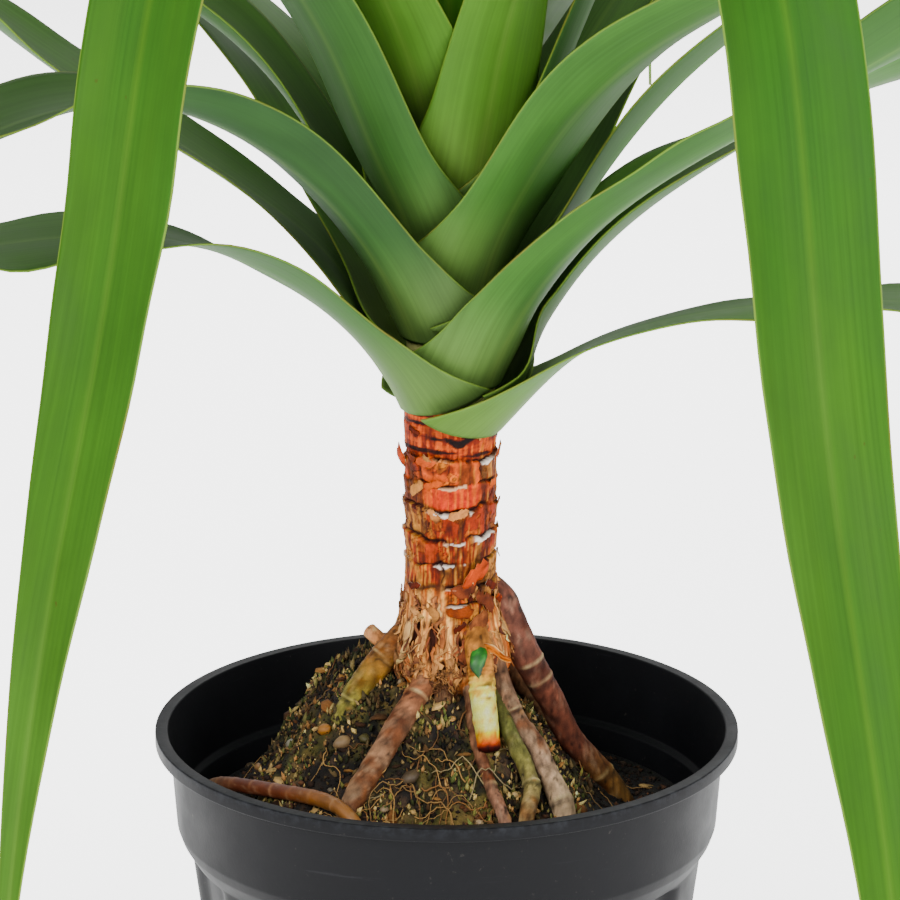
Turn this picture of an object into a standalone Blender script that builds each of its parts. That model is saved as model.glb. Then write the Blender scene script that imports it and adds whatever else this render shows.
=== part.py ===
"""A potted dragon tree: a nursery pot, potting soil heaped into a mound, a trunk on stilt roots,
a root that lies over the soil, and a crown of strap leaves that clasp the stem.

Metres, +Z up. The origin is the middle of the pot's flat base. An azimuth is in degrees and seen
from above: 0 is the front (-Y), +90 is the right (+X). Slopes and rolls are in degrees too.
"""

from collections import namedtuple
from math import atan2, cos, degrees, exp, hypot, pi, radians, sin

import bmesh
import bpy
from mathutils import Vector, noise

# Pot
POT_HEIGHT = 0.180
RIM_RADIUS = 0.105
RIM_WIDTH = 0.0046
LIP_HEIGHT = 0.0048
BAND_RADIUS = 0.0998
BAND_FOOT_RADIUS = 0.0977
BAND_FOOT = 0.145
BODY_TOP = 0.135
BODY_RADIUS = 0.0926
FOOT_RADIUS = 0.0765
BASE_RADIUS = 0.0735
BASE_THICKNESS = 0.002
WALL = 0.0018
LEDGE_RADIUS = 0.0945
LEDGE = 0.151
INNER_BAND_RADIUS = 0.0968

# Grooves pressed into the pot's body, which stand in on the inside too
GROOVES = 9
GROOVE_START = -80.0
GROOVE_DEPTH = 0.003
GROOVE_TOP = 0.133
GROOVE_FOOT = 0.016
POT_STEPS = 45
STEPS_PER_GROOVE = POT_STEPS // GROOVES
GROOVE_STEPS = (1, 2)

# Drain holes
DRAIN_HOLES = 8
DRAIN_CIRCLE = 0.058
DRAIN_RADIUS = 0.0045

# Soil
CLEARANCE = 0.0004
SOIL_LEVEL = 0.144
MOUND_PEAK = 0.199
MOUND_CENTRE = (-0.008, 0.006)
MOUND_REACH = 0.079
FRONT_REACH = 0.013
MOUND_TOP = 0.16
SHOULDER = (-0.045, 0.024)
SHOULDER_HEIGHT = 0.012
SHOULDER_WIDTH = 0.017
SOIL_RINGS = (0.010, 0.021, 0.033, 0.046, 0.059, 0.072, 0.084)
LUMP = 0.0022

# Trunk
STEM_X = 0.0014
TRUNK_RADIUS = 0.0165
TIP_RADIUS = 0.0095
TAPER_FROM = 0.30
TAPER_TO = 0.50
CROWN_BASE = 0.2885
STEM_TOP = 0.446
TRUNK_STEPS = 24
SCAR_PITCH = 0.0085
SCAR_DEPTH = 0.0009
SCAR_HEIGHT = 0.0012
SCARS_FROM = 0.222
TRUNK_FOOT = (
    (0.0, 0.1925),
    (0.0110, 0.1932),
    (0.0180, 0.1965),
    (0.0214, 0.2030),
    (0.0210, 0.2110),
    (0.0182, 0.2203),
)

# A root's points are (x, y, z, radius), from inside the trunk to its end.
ROOT_SIDES = 2
ROOTS = {
    "left": (
        (-0.006, -0.002, 0.222, 0.0052),
        (-0.015, -0.003, 0.2145, 0.0052),
        (-0.022, -0.006, 0.2075, 0.0050),
        (-0.0288, -0.009, 0.199, 0.0048),
        (-0.0345, -0.012, 0.1905, 0.0046),
        (-0.038, -0.0135, 0.182, 0.0043),
        (-0.0405, -0.015, 0.172, 0.0040),
    ),
    "front_left": (
        (-0.002, -0.008, 0.210, 0.0046),
        (-0.0085, -0.018, 0.200, 0.0046),
        (-0.0165, -0.029, 0.190, 0.0044),
        (-0.0255, -0.040, 0.178, 0.0042),
        (-0.0335, -0.048, 0.166, 0.0040),
        (-0.0375, -0.053, 0.151, 0.0035),
    ),
    "middle_stub": (
        (-0.001, -0.008, 0.207, 0.0036),
        (-0.001, -0.018, 0.197, 0.0034),
        (-0.002, -0.024, 0.190, 0.0031),
        (-0.003, -0.029, 0.180, 0.0028),
    ),
    "cut": (
        (0.009, -0.010, 0.222, 0.0046),
        (0.011, -0.018, 0.215, 0.0049),
        (0.012, -0.022, 0.208, 0.0047),
        (0.013, -0.027, 0.198, 0.0045),
        (0.0150, -0.0345, 0.1825, 0.0041),
    ),
    "thin": (
        (0.006, -0.010, 0.207, 0.0024),
        (0.008, -0.016, 0.202, 0.0025),
        (0.009, -0.024, 0.191, 0.0023),
        (0.011, -0.032, 0.182, 0.0022),
        (0.016, -0.046, 0.171, 0.0023),
        (0.020, -0.056, 0.164, 0.0022),
        (0.023, -0.063, 0.148, 0.0018),
    ),
    "front_right": (
        (0.014, -0.006, 0.213, 0.0038),
        (0.0205, -0.016, 0.198, 0.0036),
        (0.0245, -0.021, 0.189, 0.0036),
        (0.0313, -0.026, 0.181, 0.0038),
        (0.0358, -0.031, 0.172, 0.0040),
        (0.041, -0.038, 0.162, 0.0042),
        (0.043, -0.042, 0.149, 0.0036),
    ),
    "olive": (
        (0.013, -0.010, 0.202, 0.0028),
        (0.019, -0.022, 0.192, 0.0029),
        (0.024, -0.031, 0.183, 0.0031),
        (0.028, -0.037, 0.176, 0.0032),
        (0.030, -0.044, 0.170, 0.0031),
        (0.028, -0.051, 0.164, 0.0028),
        (0.026, -0.055, 0.149, 0.0022),
    ),
    "right": (
        (0.010, 0.001, 0.233, 0.0054),
        (0.019, 0.001, 0.227, 0.0056),
        (0.0245, 0.001, 0.214, 0.0055),
        (0.031, 0.002, 0.200, 0.0053),
        (0.038, 0.0045, 0.1865, 0.0050),
        (0.0456, 0.008, 0.170, 0.0047),
        (0.0576, 0.012, 0.155, 0.0045),
        (0.0655, 0.015, 0.142, 0.0043),
    ),
    "back_stub": (
        (-0.012, 0.004, 0.203, 0.0034),
        (-0.022, 0.008, 0.207, 0.0030),
        (-0.028, 0.012, 0.211, 0.0027),
    ),
    "back_left": (
        (-0.006, 0.008, 0.208, 0.0046),
        (-0.016, 0.020, 0.196, 0.0046),
        (-0.026, 0.032, 0.184, 0.0043),
        (-0.035, 0.042, 0.171, 0.0039),
        (-0.040, 0.049, 0.152, 0.0032),
    ),
    "back_right": (
        (0.008, 0.008, 0.210, 0.0050),
        (0.018, 0.018, 0.200, 0.0050),
        (0.027, 0.030, 0.186, 0.0046),
        (0.036, 0.041, 0.170, 0.0042),
        (0.042, 0.048, 0.142, 0.0034),
    ),
}
SURFACE_ROOT = (
    (-0.0850, 0.0130, 0.1370, 0.0018),
    (-0.0868, 0.0080, 0.1470, 0.0021),
    (-0.0860, 0.0010, 0.1545, 0.0024),
    (-0.0795, -0.0100, 0.1600, 0.0026),
    (-0.0677, -0.0220, 0.1630, 0.0027),
    (-0.0553, -0.0350, 0.1660, 0.0027),
    (-0.0432, -0.0470, 0.1680, 0.0027),
    (-0.0350, -0.0555, 0.1665, 0.0025),
    (-0.0290, -0.0620, 0.1600, 0.0022),
    (-0.0255, -0.0655, 0.1470, 0.0018),
)

# Leaves. A leaf has a slope at each of these shares of its length, and a roll about its midrib at
# the third, fourth and fifth. Cup lifts its edges near the stem and fold lifts them further out.
STATIONS = (0.0, 0.05, 0.12, 0.25, 0.45, 0.70, 1.0)
Leaf = namedtuple("Leaf", "name azimuth height slopes length width sweep cup fold rolls")
LEAVES = (
    Leaf("right_1", 69, 0.290, (50, 46, 22, 7, -4, -14, -40), 0.54, 0.041, -5, 0, 0, (-2, -1, 2)),
    Leaf("right_2", 46, 0.307, (67, 57, 42, 30, 29, -1, -35), 0.57, 0.040, -2, 0.2, 0.23, (4, 6, -16)),
    Leaf("right_3", 37, 0.340, (71, 57, 47, 27, 23, -14, -50), 0.59, 0.040, -1, 0.04, 0.3, (-2, -3, 13)),
    Leaf("right_4", 24, 0.369, (64, 69, 57, 24, -67, -60, -78), 0.75, 0.039, -6, 0, 0.3, (21, 14, 16)),
    Leaf("right_5", 83, 0.321, (61, 60, 57, 38, 25, -5, -40), 0.57, 0.040, 1, 0.08, 0.24, (-7, -8, -3)),
    Leaf("right_6", 78, 0.358, (78, 66, 69, 62, 41, 0, -35), 0.52, 0.038, 0, 0, 0.14, (-3, -1, -2)),
    Leaf("right_7", 120, 0.298, (49, 56, 42, 25, 11, 6, -35), 0.45, 0.040, 0, 0.47, 0.25, (-8, -4, -33)),
    Leaf("left_1", -67, 0.298, (67, 50, 33, 2, -8, -8, -40), 0.58, 0.042, 5, 0.1, 0.1, (11, -9, 0)),
    Leaf("left_2", -47, 0.324, (67, 58, 46, 26, -13, -17, -50), 0.49, 0.040, 0, 0.13, 0.38, (2, 5, -3)),
    Leaf("left_3", -41, 0.348, (78, 59, 62, 42, 21, -29, -60), 0.59, 0.040, -1, 0.16, 0.19, (-5, -1, -5)),
    Leaf("left_4", -24, 0.388, (74, 58, 47, 33, -60, -58, -73), 0.61, 0.039, 4, 0, 0.12, (-6, -23, 6)),
    Leaf("left_5", -108, 0.303, (61, 61, 36, 28, 36, -20, -45), 0.59, 0.040, -5, 0, 0.26, (7, 3, 23)),
    Leaf("left_6", -105, 0.333, (63, 64, 55, 28, 25, -5, -40), 0.58, 0.040, 1, 0, 0.44, (6, 0, 6)),
    Leaf("front_1", -1, 0.395, (63, 72, 73, 62, 52, 20, -20), 0.5, 0.038, 0, 0.04, 0.14, (-8, 2, -3)),
    Leaf("back_1", 166, 0.294, (55, 47, 40, 20, 8, -12, -40), 0.54, 0.040, 3, 0.09, 0.15, (2, 5, 3)),
    Leaf("back_2", -143, 0.315, (56, 52, 47, 27, 8, -12, -42), 0.56, 0.040, -4, 0.09, 0.11, (-12, -1, 15)),
    Leaf("back_3", 146, 0.318, (61, 52, 42, 32, 12, -10, -40), 0.55, 0.040, 2, 0.21, 0.47, (14, 3, 13)),
    Leaf("back_4", -174, 0.326, (70, 59, 45, 32, 16, -12, -45), 0.57, 0.040, -3, 0.05, 0.5, (-6, -1, -12)),
    Leaf("back_5", -156, 0.338, (59, 65, 52, 40, 21, -14, -50), 0.57, 0.040, 4, 0.07, 0.13, (2, 4, 7)),
    Leaf("back_6", 131, 0.348, (62, 60, 52, 39, 20, -12, -50), 0.56, 0.040, -3, 0.08, 0, (-3, -4, -14)),
    Leaf("back_7", 173, 0.353, (74, 68, 57, 44, -21, -55, -70), 0.62, 0.039, 5, 0, 0.3, (6, 8, 9)),
    Leaf("back_8", -86, 0.374, (69, 62, 57, 52, 33, -5, -45), 0.55, 0.039, -4, 0.01, 0, (-10, 14, 4)),
    Leaf("back_9", -155, 0.379, (69, 62, 62, 54, 30, -10, -50), 0.54, 0.038, 3, 0, 0.03, (8, 1, -7)),
    Leaf("back_10", 139, 0.384, (64, 66, 66, 53, 33, -5, -50), 0.52, 0.038, -4, 0.16, 0.39, (-2, -5, 10)),
    Leaf("top_1", 53, 0.400, (63, 77, 72, 60, 50, 10, -30), 0.5, 0.038, 3, 0.05, 0.08, (3, 3, 9)),
    Leaf("top_2", -57, 0.403, (67, 79, 69, 64, 48, 12, -30), 0.48, 0.037, -3, 0, 0.14, (-1, -2, -7)),
    Leaf("top_3", 179, 0.407, (77, 72, 76, 63, 54, 20, -20), 0.47, 0.036, 2, 0.03, 0.25, (-1, 1, 9)),
    Leaf("top_4", -123, 0.415, (76, 74, 75, 70, 61, 32, -5), 0.45, 0.035, 2, 0, 0.25, (2, 6, 2)),
    Leaf("top_5", 108, 0.422, (77, 73, 76, 82, 69, 42, 5), 0.43, 0.034, -2, 0.06, 0.25, (-7, -6, -5)),
    Leaf("top_6", -20, 0.429, (81, 74, 84, 74, 66, 52, 20), 0.4, 0.032, 2, 0, 0.29, (16, 4, -5)),
    Leaf("top_7", -163, 0.437, (83, 80, 85, 71, 79, 66, 45), 0.37, 0.030, 0, 0, 0.28, (3, -7, -4)),
    Leaf("spear", 62, 0.448, (88, 88, 84, 85, 84, 78, 70), 0.33, 0.026, 0, 0, 0.39, (-5, 13, -1)),
)
LEAF_THICKNESS = 0.001
LEAF_GAP = 0.0009
STEM_GAP = 0.0008
CLASP = 0.022
CLASP_FADE = 0.022
MOST_WRAP = 2.4
EDGE_RISE = 0.012
TIP_HALF_WIDTH = 0.0007
LEAF_ROWS = 12
DEGREES_PER_ROW = 11
WIDE_ROWS = 2
WIDE_COLUMNS = 8
COLUMNS = 4
PATH_STEPS = 240

MERGE = 0.00001

COLOURS = {
    "pot": ((0.035, 0.037, 0.040), 0.55),
    "soil": ((0.060, 0.045, 0.028), 0.95),
    "trunk": ((0.330, 0.140, 0.070), 0.80),
    "surface_root": ((0.270, 0.090, 0.045), 0.60),
    "leaf": ((0.110, 0.260, 0.060), 0.42),
}


def clear_scene():
    for obj in list(bpy.data.objects):
        bpy.data.objects.remove(obj, do_unlink=True)


def make_material(name, colour, roughness):
    material = bpy.data.materials.new(name)
    material.use_nodes = True
    shader = material.node_tree.nodes["Principled BSDF"]
    shader.inputs["Base Color"].default_value = (*colour, 1.0)
    shader.inputs["Roughness"].default_value = roughness
    shader.inputs["Metallic"].default_value = 0.0
    material.diffuse_color = (*colour, 1.0)
    return material


def make_collection(name):
    collection = bpy.data.collections.new(name)
    bpy.context.scene.collection.children.link(collection)
    return collection


def add_mesh(name, vertices, faces, collection, edges=()):
    mesh = bpy.data.meshes.new(name)
    mesh.from_pydata(vertices, edges, faces)
    obj = bpy.data.objects.new(name, mesh)
    collection.objects.link(obj)
    return obj


def freeze(obj):
    """Puts what the object's modifiers make in the place of its mesh."""
    graph = bpy.context.evaluated_depsgraph_get()
    mesh = bpy.data.meshes.new_from_object(obj.evaluated_get(graph))
    obj.modifiers.clear()
    obj.data = mesh
    return obj


def finish(obj, material):
    obj.data.materials.clear()
    obj.data.materials.append(material)
    obj.data.shade_smooth()
    obj.data.set_sharp_from_angle(angle=radians(40))


def smooth_step(low, high, value):
    share = min(1.0, max(0.0, (value - low) / (high - low)))
    return share * share * (3 - 2 * share)


def turned(name, profile, steps, collection, start=0.0):
    """A body of revolution. The outline is (radius, height) pairs, and start turns its first seam."""
    vertices = [(r * cos(radians(start)), r * sin(radians(start)), z) for r, z in profile]
    edges = [(i, i + 1) for i in range(len(profile) - 1)]
    obj = add_mesh(name, vertices, [], collection, edges)
    screw = obj.modifiers.new("turn", "SCREW")
    screw.axis = "Z"
    screw.angle = 2 * pi
    screw.steps = steps
    screw.render_steps = steps
    screw.use_merge_vertices = True
    screw.merge_threshold = MERGE
    return freeze(obj)


def hide_cutter(obj):
    obj.hide_render = True
    obj.display_type = "WIRE"


def add_boolean(obj, operation, collection):
    boolean = obj.modifiers.new(operation.lower(), "BOOLEAN")
    boolean.operation = operation
    boolean.operand_type = "COLLECTION"
    boolean.collection = collection
    boolean.solver = "EXACT"


def inner_wall():
    """The inside of the pot's wall as (radius, height) pairs, from the floor up."""
    return (
        (FOOT_RADIUS - WALL - 0.0008, BASE_THICKNESS),
        (FOOT_RADIUS - WALL, 0.009),
        (wall_radius(GROOVE_FOOT) - WALL, GROOVE_FOOT),
        (wall_radius(GROOVE_TOP) - WALL, GROOVE_TOP),
        (BODY_RADIUS - WALL, BODY_TOP + 0.001),
        (LEDGE_RADIUS, LEDGE),
        (INNER_BAND_RADIUS, LEDGE + 0.0015),
        (RIM_RADIUS - RIM_WIDTH, POT_HEIGHT),
    )


def wall_radius(height):
    """The outside radius of the pot's tapered body."""
    share = (height - 0.008) / (BODY_TOP - 0.008)
    return FOOT_RADIUS + share * (BODY_RADIUS - FOOT_RADIUS)


def outer_wall():
    """The outside of the pot's wall as (radius, height) pairs, from the rim down."""
    return (
        (RIM_RADIUS, POT_HEIGHT),
        (RIM_RADIUS, POT_HEIGHT - LIP_HEIGHT),
        (BAND_RADIUS, POT_HEIGHT - LIP_HEIGHT - 0.0004),
        (BAND_FOOT_RADIUS, BAND_FOOT),
        (BAND_FOOT_RADIUS - 0.0014, BAND_FOOT - 0.004),
        (BODY_RADIUS, BODY_TOP),
        (wall_radius(GROOVE_TOP), GROOVE_TOP),
        (wall_radius(GROOVE_FOOT), GROOVE_FOOT),
        (FOOT_RADIUS, 0.008),
        (BASE_RADIUS + 0.001, 0.0012),
        (BASE_RADIUS, 0.0),
    )


def press_grooves(obj):
    """Moves the points of the pot's body, or of the soil beside it, in where a groove is.

    The faces become triangles the same way on both, so that the soil keeps clear of the wall.
    """
    for vertex in obj.data.vertices:
        x, y, z = vertex.co
        radius = hypot(x, y)
        step = round(degrees(atan2(x, -y) - radians(GROOVE_START)) / 360 * POT_STEPS)
        beside_wall = radius > 0.9 * BASE_RADIUS and GROOVE_FOOT - MERGE < z < GROOVE_TOP + MERGE
        if beside_wall and step % STEPS_PER_GROOVE in GROOVE_STEPS:
            factor = (radius - GROOVE_DEPTH) / radius
            vertex.co = (x * factor, y * factor, z)
    triangulate = obj.modifiers.new("triangulate", "TRIANGULATE")
    triangulate.quad_method = "SHORTEST_DIAGONAL"


def build_pot(parts, cutters):
    profile = [(0.0, BASE_THICKNESS), *inner_wall(), *outer_wall(), (0.0, 0.0)]
    pot = turned("pot", profile, POT_STEPS, parts, GROOVE_START - 90)
    press_grooves(pot)
    for i in range(DRAIN_HOLES):
        angle = 2 * pi * i / DRAIN_HOLES
        place = (DRAIN_CIRCLE * cos(angle), DRAIN_CIRCLE * sin(angle), 0)
        bpy.ops.mesh.primitive_cylinder_add(
            vertices=12, radius=DRAIN_RADIUS, depth=4 * BASE_THICKNESS, location=place
        )
        hole = bpy.context.object
        hole.name = f"drain_cutter_{i + 1}"
        move_to(hole, cutters)
        hide_cutter(hole)
    add_boolean(pot, "DIFFERENCE", cutters)
    return freeze(pot)


def move_to(obj, collection):
    for old in list(obj.users_collection):
        old.objects.unlink(obj)
    collection.objects.link(obj)


def mound_height(x, y):
    """The soil's height: level by the wall, heaped round the trunk and to its left, with soft lumps."""
    distance = hypot(x - MOUND_CENTRE[0], y - MOUND_CENTRE[1])
    front = smooth_step(0.0, 0.8, (MOUND_CENTRE[1] - y) / max(distance, MERGE))
    away = distance / (MOUND_REACH + FRONT_REACH * front)
    heap = 1 - smooth_step(MOUND_TOP, 1.0, away)
    offset = hypot(x - SHOULDER[0], y - SHOULDER[1]) / SHOULDER_WIDTH
    base = SOIL_LEVEL + SHOULDER_HEIGHT * exp(-0.5 * offset * offset)
    lumps = noise.noise(Vector((x, y, 0)) * 55) + 0.5 * noise.noise(Vector((x, y, 1)) * 130)
    return base + (MOUND_PEAK - SOIL_LEVEL) * heap + LUMP * lumps * smooth_step(0.0, 0.3, heap)


def build_soil(parts, cutters):
    wall = [(r - CLEARANCE, z) for r, z in inner_wall() if z < SOIL_LEVEL]
    wall[0] = (wall[0][0], BASE_THICKNESS + CLEARANCE)
    edge = SOIL_LEVEL - 0.001
    share = (edge - BODY_TOP - 0.001) / (LEDGE - BODY_TOP - 0.001)
    inner_radius = BODY_RADIUS - WALL
    wall.append((inner_radius + share * (LEDGE_RADIUS - inner_radius) - CLEARANCE, edge))
    top = [(r, SOIL_LEVEL) for r in (0.0, *SOIL_RINGS)]
    profile = [*top, *reversed(wall), (0.0, BASE_THICKNESS + CLEARANCE)]
    soil = turned("soil", profile, POT_STEPS, parts, GROOVE_START - 90)
    for vertex in soil.data.vertices:
        if vertex.co.z > SOIL_LEVEL - MERGE:
            vertex.co.z = mound_height(vertex.co.x, vertex.co.y)
    press_grooves(soil)
    add_boolean(soil, "DIFFERENCE", cutters)
    return freeze(soil)


def stem_radius(height):
    return TRUNK_RADIUS - (TRUNK_RADIUS - TIP_RADIUS) * smooth_step(TAPER_FROM, TAPER_TO, height)


def trunk_profile():
    """The trunk's outline from its top down: the bare stem in the crown, the scars, the flared foot."""
    top = [(0.0, STEM_TOP), (0.005, STEM_TOP - 0.0012), (stem_radius(STEM_TOP) - 0.002, STEM_TOP - 0.006)]
    heights = (0.425, 0.400, 0.375, 0.350, 0.325, CROWN_BASE + 0.003)
    core = [(stem_radius(z) - STEM_GAP, z) for z in heights]
    bark = [(TRUNK_RADIUS, CROWN_BASE)]
    scars = int((CROWN_BASE - SCARS_FROM) / SCAR_PITCH)
    for i in reversed(range(scars)):
        height = SCARS_FROM + i * SCAR_PITCH
        swell = 0.0012 * (1 - smooth_step(SCARS_FROM, 0.245, height))
        bark.append((TRUNK_RADIUS - SCAR_DEPTH + swell, height + SCAR_HEIGHT))
        bark.append((TRUNK_RADIUS + swell, height))
    return [*top, *core, *bark, *reversed(TRUNK_FOOT)]


def build_trunk_body(name, collection, grow=0.0):
    body = turned(name, trunk_profile(), TRUNK_STEPS, collection)
    for vertex in body.data.vertices:
        x, y, z = vertex.co
        radius = hypot(x, y)
        bark = smooth_step(0.195, 0.206, z) * (1 - smooth_step(0.280, CROWN_BASE, z))
        wave = 0.0006 * noise.noise(Vector((x * 90, y * 90, z * 60)))
        factor = 1 + (grow + wave * bark) / radius if radius > MERGE else 1.0
        tilt = 0.05 * x * bark
        vertex.co = (x * factor + STEM_X, y * factor, z + tilt - grow * (1 - smooth_step(0.193, 0.20, z)))
    return body


def rounded_path(points, between=2):
    """The points of a smooth curve through the given points, all four numbers of each alike."""
    path = []
    for i in range(len(points) - 1):
        before = points[max(i - 1, 0)]
        after = points[min(i + 2, len(points) - 1)]
        for step in range(between):
            t = step / between
            row = zip(before, points[i], points[i + 1], after)
            path.append(tuple(spline(a, b, c, d, t) for a, b, c, d in row))
    return [*path, points[-1]]


def spline(before, start, end, after, t):
    """A Catmull-Rom curve's value at share t of the way from start to end."""
    bend = 2 * before - 5 * start + 4 * end - after
    twist = 3 * (start - end) + after - before
    return start + 0.5 * t * (end - before + t * (bend + t * twist))


def build_root(name, points, collection, grow=0.0):
    """A round tapered root, as a mesh. Grow makes it wider and longer, for the hole it stands in."""
    path = rounded_path(points)
    curve = bpy.data.curves.new(name, "CURVE")
    curve.dimensions = "3D"
    curve.bevel_depth = 1.0
    curve.bevel_resolution = ROOT_SIDES
    curve.use_fill_caps = True
    spine = curve.splines.new("POLY")
    spine.points.add(len(path) - 1)
    for point, (x, y, z, radius) in zip(spine.points, path):
        point.co = (x, y, z, 1.0)
        point.radius = radius + grow
    if grow:
        first, last = Vector(path[-2][:3]), Vector(path[-1][:3])
        end = last + (last - first).normalized() * grow
        spine.points[-1].co = (*end, 1.0)
    guide = bpy.data.objects.new(f"{name}_line", curve)
    collection.objects.link(guide)
    graph = bpy.context.evaluated_depsgraph_get()
    mesh = bpy.data.meshes.new_from_object(guide.evaluated_get(graph))
    weld = bmesh.new()
    weld.from_mesh(mesh)
    bmesh.ops.remove_doubles(weld, verts=weld.verts, dist=MERGE)
    bmesh.ops.recalc_face_normals(weld, faces=weld.faces)
    weld.to_mesh(mesh)
    weld.free()
    root = bpy.data.objects.new(name, mesh)
    root.matrix_world = guide.matrix_world
    bpy.data.objects.remove(guide, do_unlink=True)
    collection.objects.link(root)
    return root


def build_trunk(parts):
    """The trunk and its stilt roots, which grew as one piece."""
    branches = make_collection("trunk_roots")
    for name, points in ROOTS.items():
        build_root(f"root_{name}", points, branches)
    trunk = build_trunk_body("trunk", parts)
    add_boolean(trunk, "UNION", branches)
    freeze(trunk)
    remove_collection(branches)
    return trunk


def remove_collection(collection):
    for obj in list(collection.objects):
        bpy.data.objects.remove(obj, do_unlink=True)
    bpy.data.collections.remove(collection)


def build_root_cutters(cutters):
    hide_cutter(build_trunk_body("trunk_cutter", cutters, CLEARANCE))
    for name, points in ROOTS.items():
        hide_cutter(build_root(f"hole_{name}", points, cutters, CLEARANCE))
    hide_cutter(build_root("hole_surface_root", SURFACE_ROOT, cutters, CLEARANCE))


def at_station(values, share):
    """A smooth curve through a value for each station, read at a share of the leaf's length."""
    last = len(STATIONS) - 2
    i = next((k for k in range(last) if share <= STATIONS[k + 1]), last)
    span = STATIONS[i + 1] - STATIONS[i]
    rise = (values[i + 1] - values[i]) / span
    before = (values[i] - values[i - 1]) / (STATIONS[i] - STATIONS[i - 1]) if i > 0 else rise
    after = (values[i + 2] - values[i + 1]) / (STATIONS[i + 2] - STATIONS[i + 1]) if i < last else rise
    u = (share - STATIONS[i]) / span
    start = (2 * u**3 - 3 * u**2 + 1) * values[i] + (u**3 - 2 * u**2 + u) * span * (before + rise) / 2
    end = (3 * u**2 - 2 * u**3) * values[i + 1] + (u**3 - u**2) * span * (rise + after) / 2
    return start + end


class LeafSurface:
    """The middle surface of one leaf. Its midrib starts on the stem and follows the leaf's slopes."""

    def __init__(self, leaf):
        self.leaf = leaf
        step = leaf.length / PATH_STEPS
        radius = stem_radius(leaf.height) + LEAF_GAP
        height = leaf.height
        self.path = []
        for i in range(PATH_STEPS + 1):
            self.path.append((radius, height, radians(at_station(leaf.slopes, i / PATH_STEPS))))
            middle = radians(at_station(leaf.slopes, min((i + 0.5) / PATH_STEPS, 1.0)))
            radius += step * cos(middle)
            height += step * sin(middle)

    def midrib(self, along):
        """Radius from the stem's axis, height and slope at a distance along the leaf."""
        place = min(max(along / self.leaf.length, 0.0), 1.0) * PATH_STEPS
        i = min(int(place), PATH_STEPS - 1)
        t = place - i
        return [a + t * (b - a) for a, b in zip(self.path[i], self.path[i + 1])]

    def half_width(self, along, radius):
        share = along / self.leaf.length
        body = self.leaf.width / 2 * (0.93 + 0.07 * smooth_step(0.05, 0.3, share))
        body *= 1 - smooth_step(0.42, 1.02, share) ** 1.3
        half = max(body, TIP_HALF_WIDTH) + CLASP * exp(-along / CLASP_FADE)
        return min(half, MOST_WRAP * radius)

    def point(self, along, across):
        """The point at a distance along the leaf, and across it from -1 to 1."""
        leaf = self.leaf
        slide = EDGE_RISE * across**2 * max(0.0, 1 - along / 0.05)
        radius, height, slope = self.midrib(along + slide)
        half = self.half_width(along, radius)
        share = along / leaf.length
        azimuth = radians(leaf.azimuth + leaf.sweep * share**2)
        first, second, third = leaf.rolls
        roll = radians(at_station((0, 0, first, second, third, third, third), share))
        cup = leaf.cup * smooth_step(0.008, 0.035, along) * (1 - smooth_step(0.05, 0.15, along))
        lift = half * abs(across) ** 1.6 * (leaf.fold * smooth_step(0.03, 0.12, along) + cup)
        spread = across * half
        turn = azimuth + spread / radius
        wrapped = self.frame_point(turn, radius, height, slope, 0.0, lift, 0.0)
        flat = self.frame_point(azimuth, radius, height, slope, spread, lift, roll)
        return wrapped.lerp(flat, smooth_step(0.025, 0.07, radius)) + Vector((STEM_X, 0, 0))

    @staticmethod
    def frame_point(azimuth, radius, height, slope, spread, lift, roll):
        outward = Vector((sin(azimuth), -cos(azimuth), 0))
        sideways = Vector((cos(azimuth), sin(azimuth), 0))
        upward = Vector((0, 0, 1))
        face = cos(slope) * upward - sin(slope) * outward
        point = radius * outward + height * upward
        point += spread * (cos(roll) * sideways + sin(roll) * face)
        return point + lift * (cos(roll) * face - sin(roll) * sideways)


def leaf_mesh(leaf):
    """Rows of points across the leaf, more of them where it wraps the stem, joined by triangles."""
    surface = LeafSurface(leaf)
    turning = sum(abs(b - a) for a, b in zip(leaf.slopes, leaf.slopes[1:]))
    count = max(LEAF_ROWS, round(turning / DEGREES_PER_ROW))
    vertices, rows = [], []
    for i in range(count + 1):
        along = leaf.length * (i / count) ** 1.6
        columns = WIDE_COLUMNS if i <= WIDE_ROWS else COLUMNS
        rows.append([len(vertices) + j for j in range(columns + 1)])
        vertices += [surface.point(along, 2 * j / columns - 1) for j in range(columns + 1)]
    faces = []
    for low, high in zip(rows, rows[1:]):
        faces += zip_rows(low, high)
    return vertices, faces


def zip_rows(low, high):
    """Triangles between two rows that may differ in their number of points."""
    faces = []
    i = j = 0
    while i < len(low) - 1 or j < len(high) - 1:
        low_next = (i + 1) / (len(low) - 1)
        high_next = (j + 1) / (len(high) - 1)
        if low_next <= high_next + MERGE:
            faces.append((low[i], low[i + 1], high[j]))
            i += 1
        else:
            faces.append((low[i], high[j + 1], high[j]))
            j += 1
    return faces


def build_leaf(leaf, parts):
    vertices, faces = leaf_mesh(leaf)
    obj = add_mesh(f"leaf_{leaf.name}", vertices, faces, parts)
    solid = obj.modifiers.new("thickness", "SOLIDIFY")
    solid.thickness = LEAF_THICKNESS
    solid.offset = 0.0
    return obj


def main():
    clear_scene()
    parts = make_collection("potted_dragon_tree")
    drain_cutters = make_collection("drain_cutters")
    root_cutters = make_collection("root_cutters")
    materials = {name: make_material(name, *look) for name, look in COLOURS.items()}
    finish(build_pot(parts, drain_cutters), materials["pot"])
    build_root_cutters(root_cutters)
    finish(build_soil(parts, root_cutters), materials["soil"])
    finish(build_trunk(parts), materials["trunk"])
    finish(build_root("surface_root", SURFACE_ROOT, parts), materials["surface_root"])
    for leaf in LEAVES:
        finish(build_leaf(leaf, parts), materials["leaf"])


main()
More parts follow.
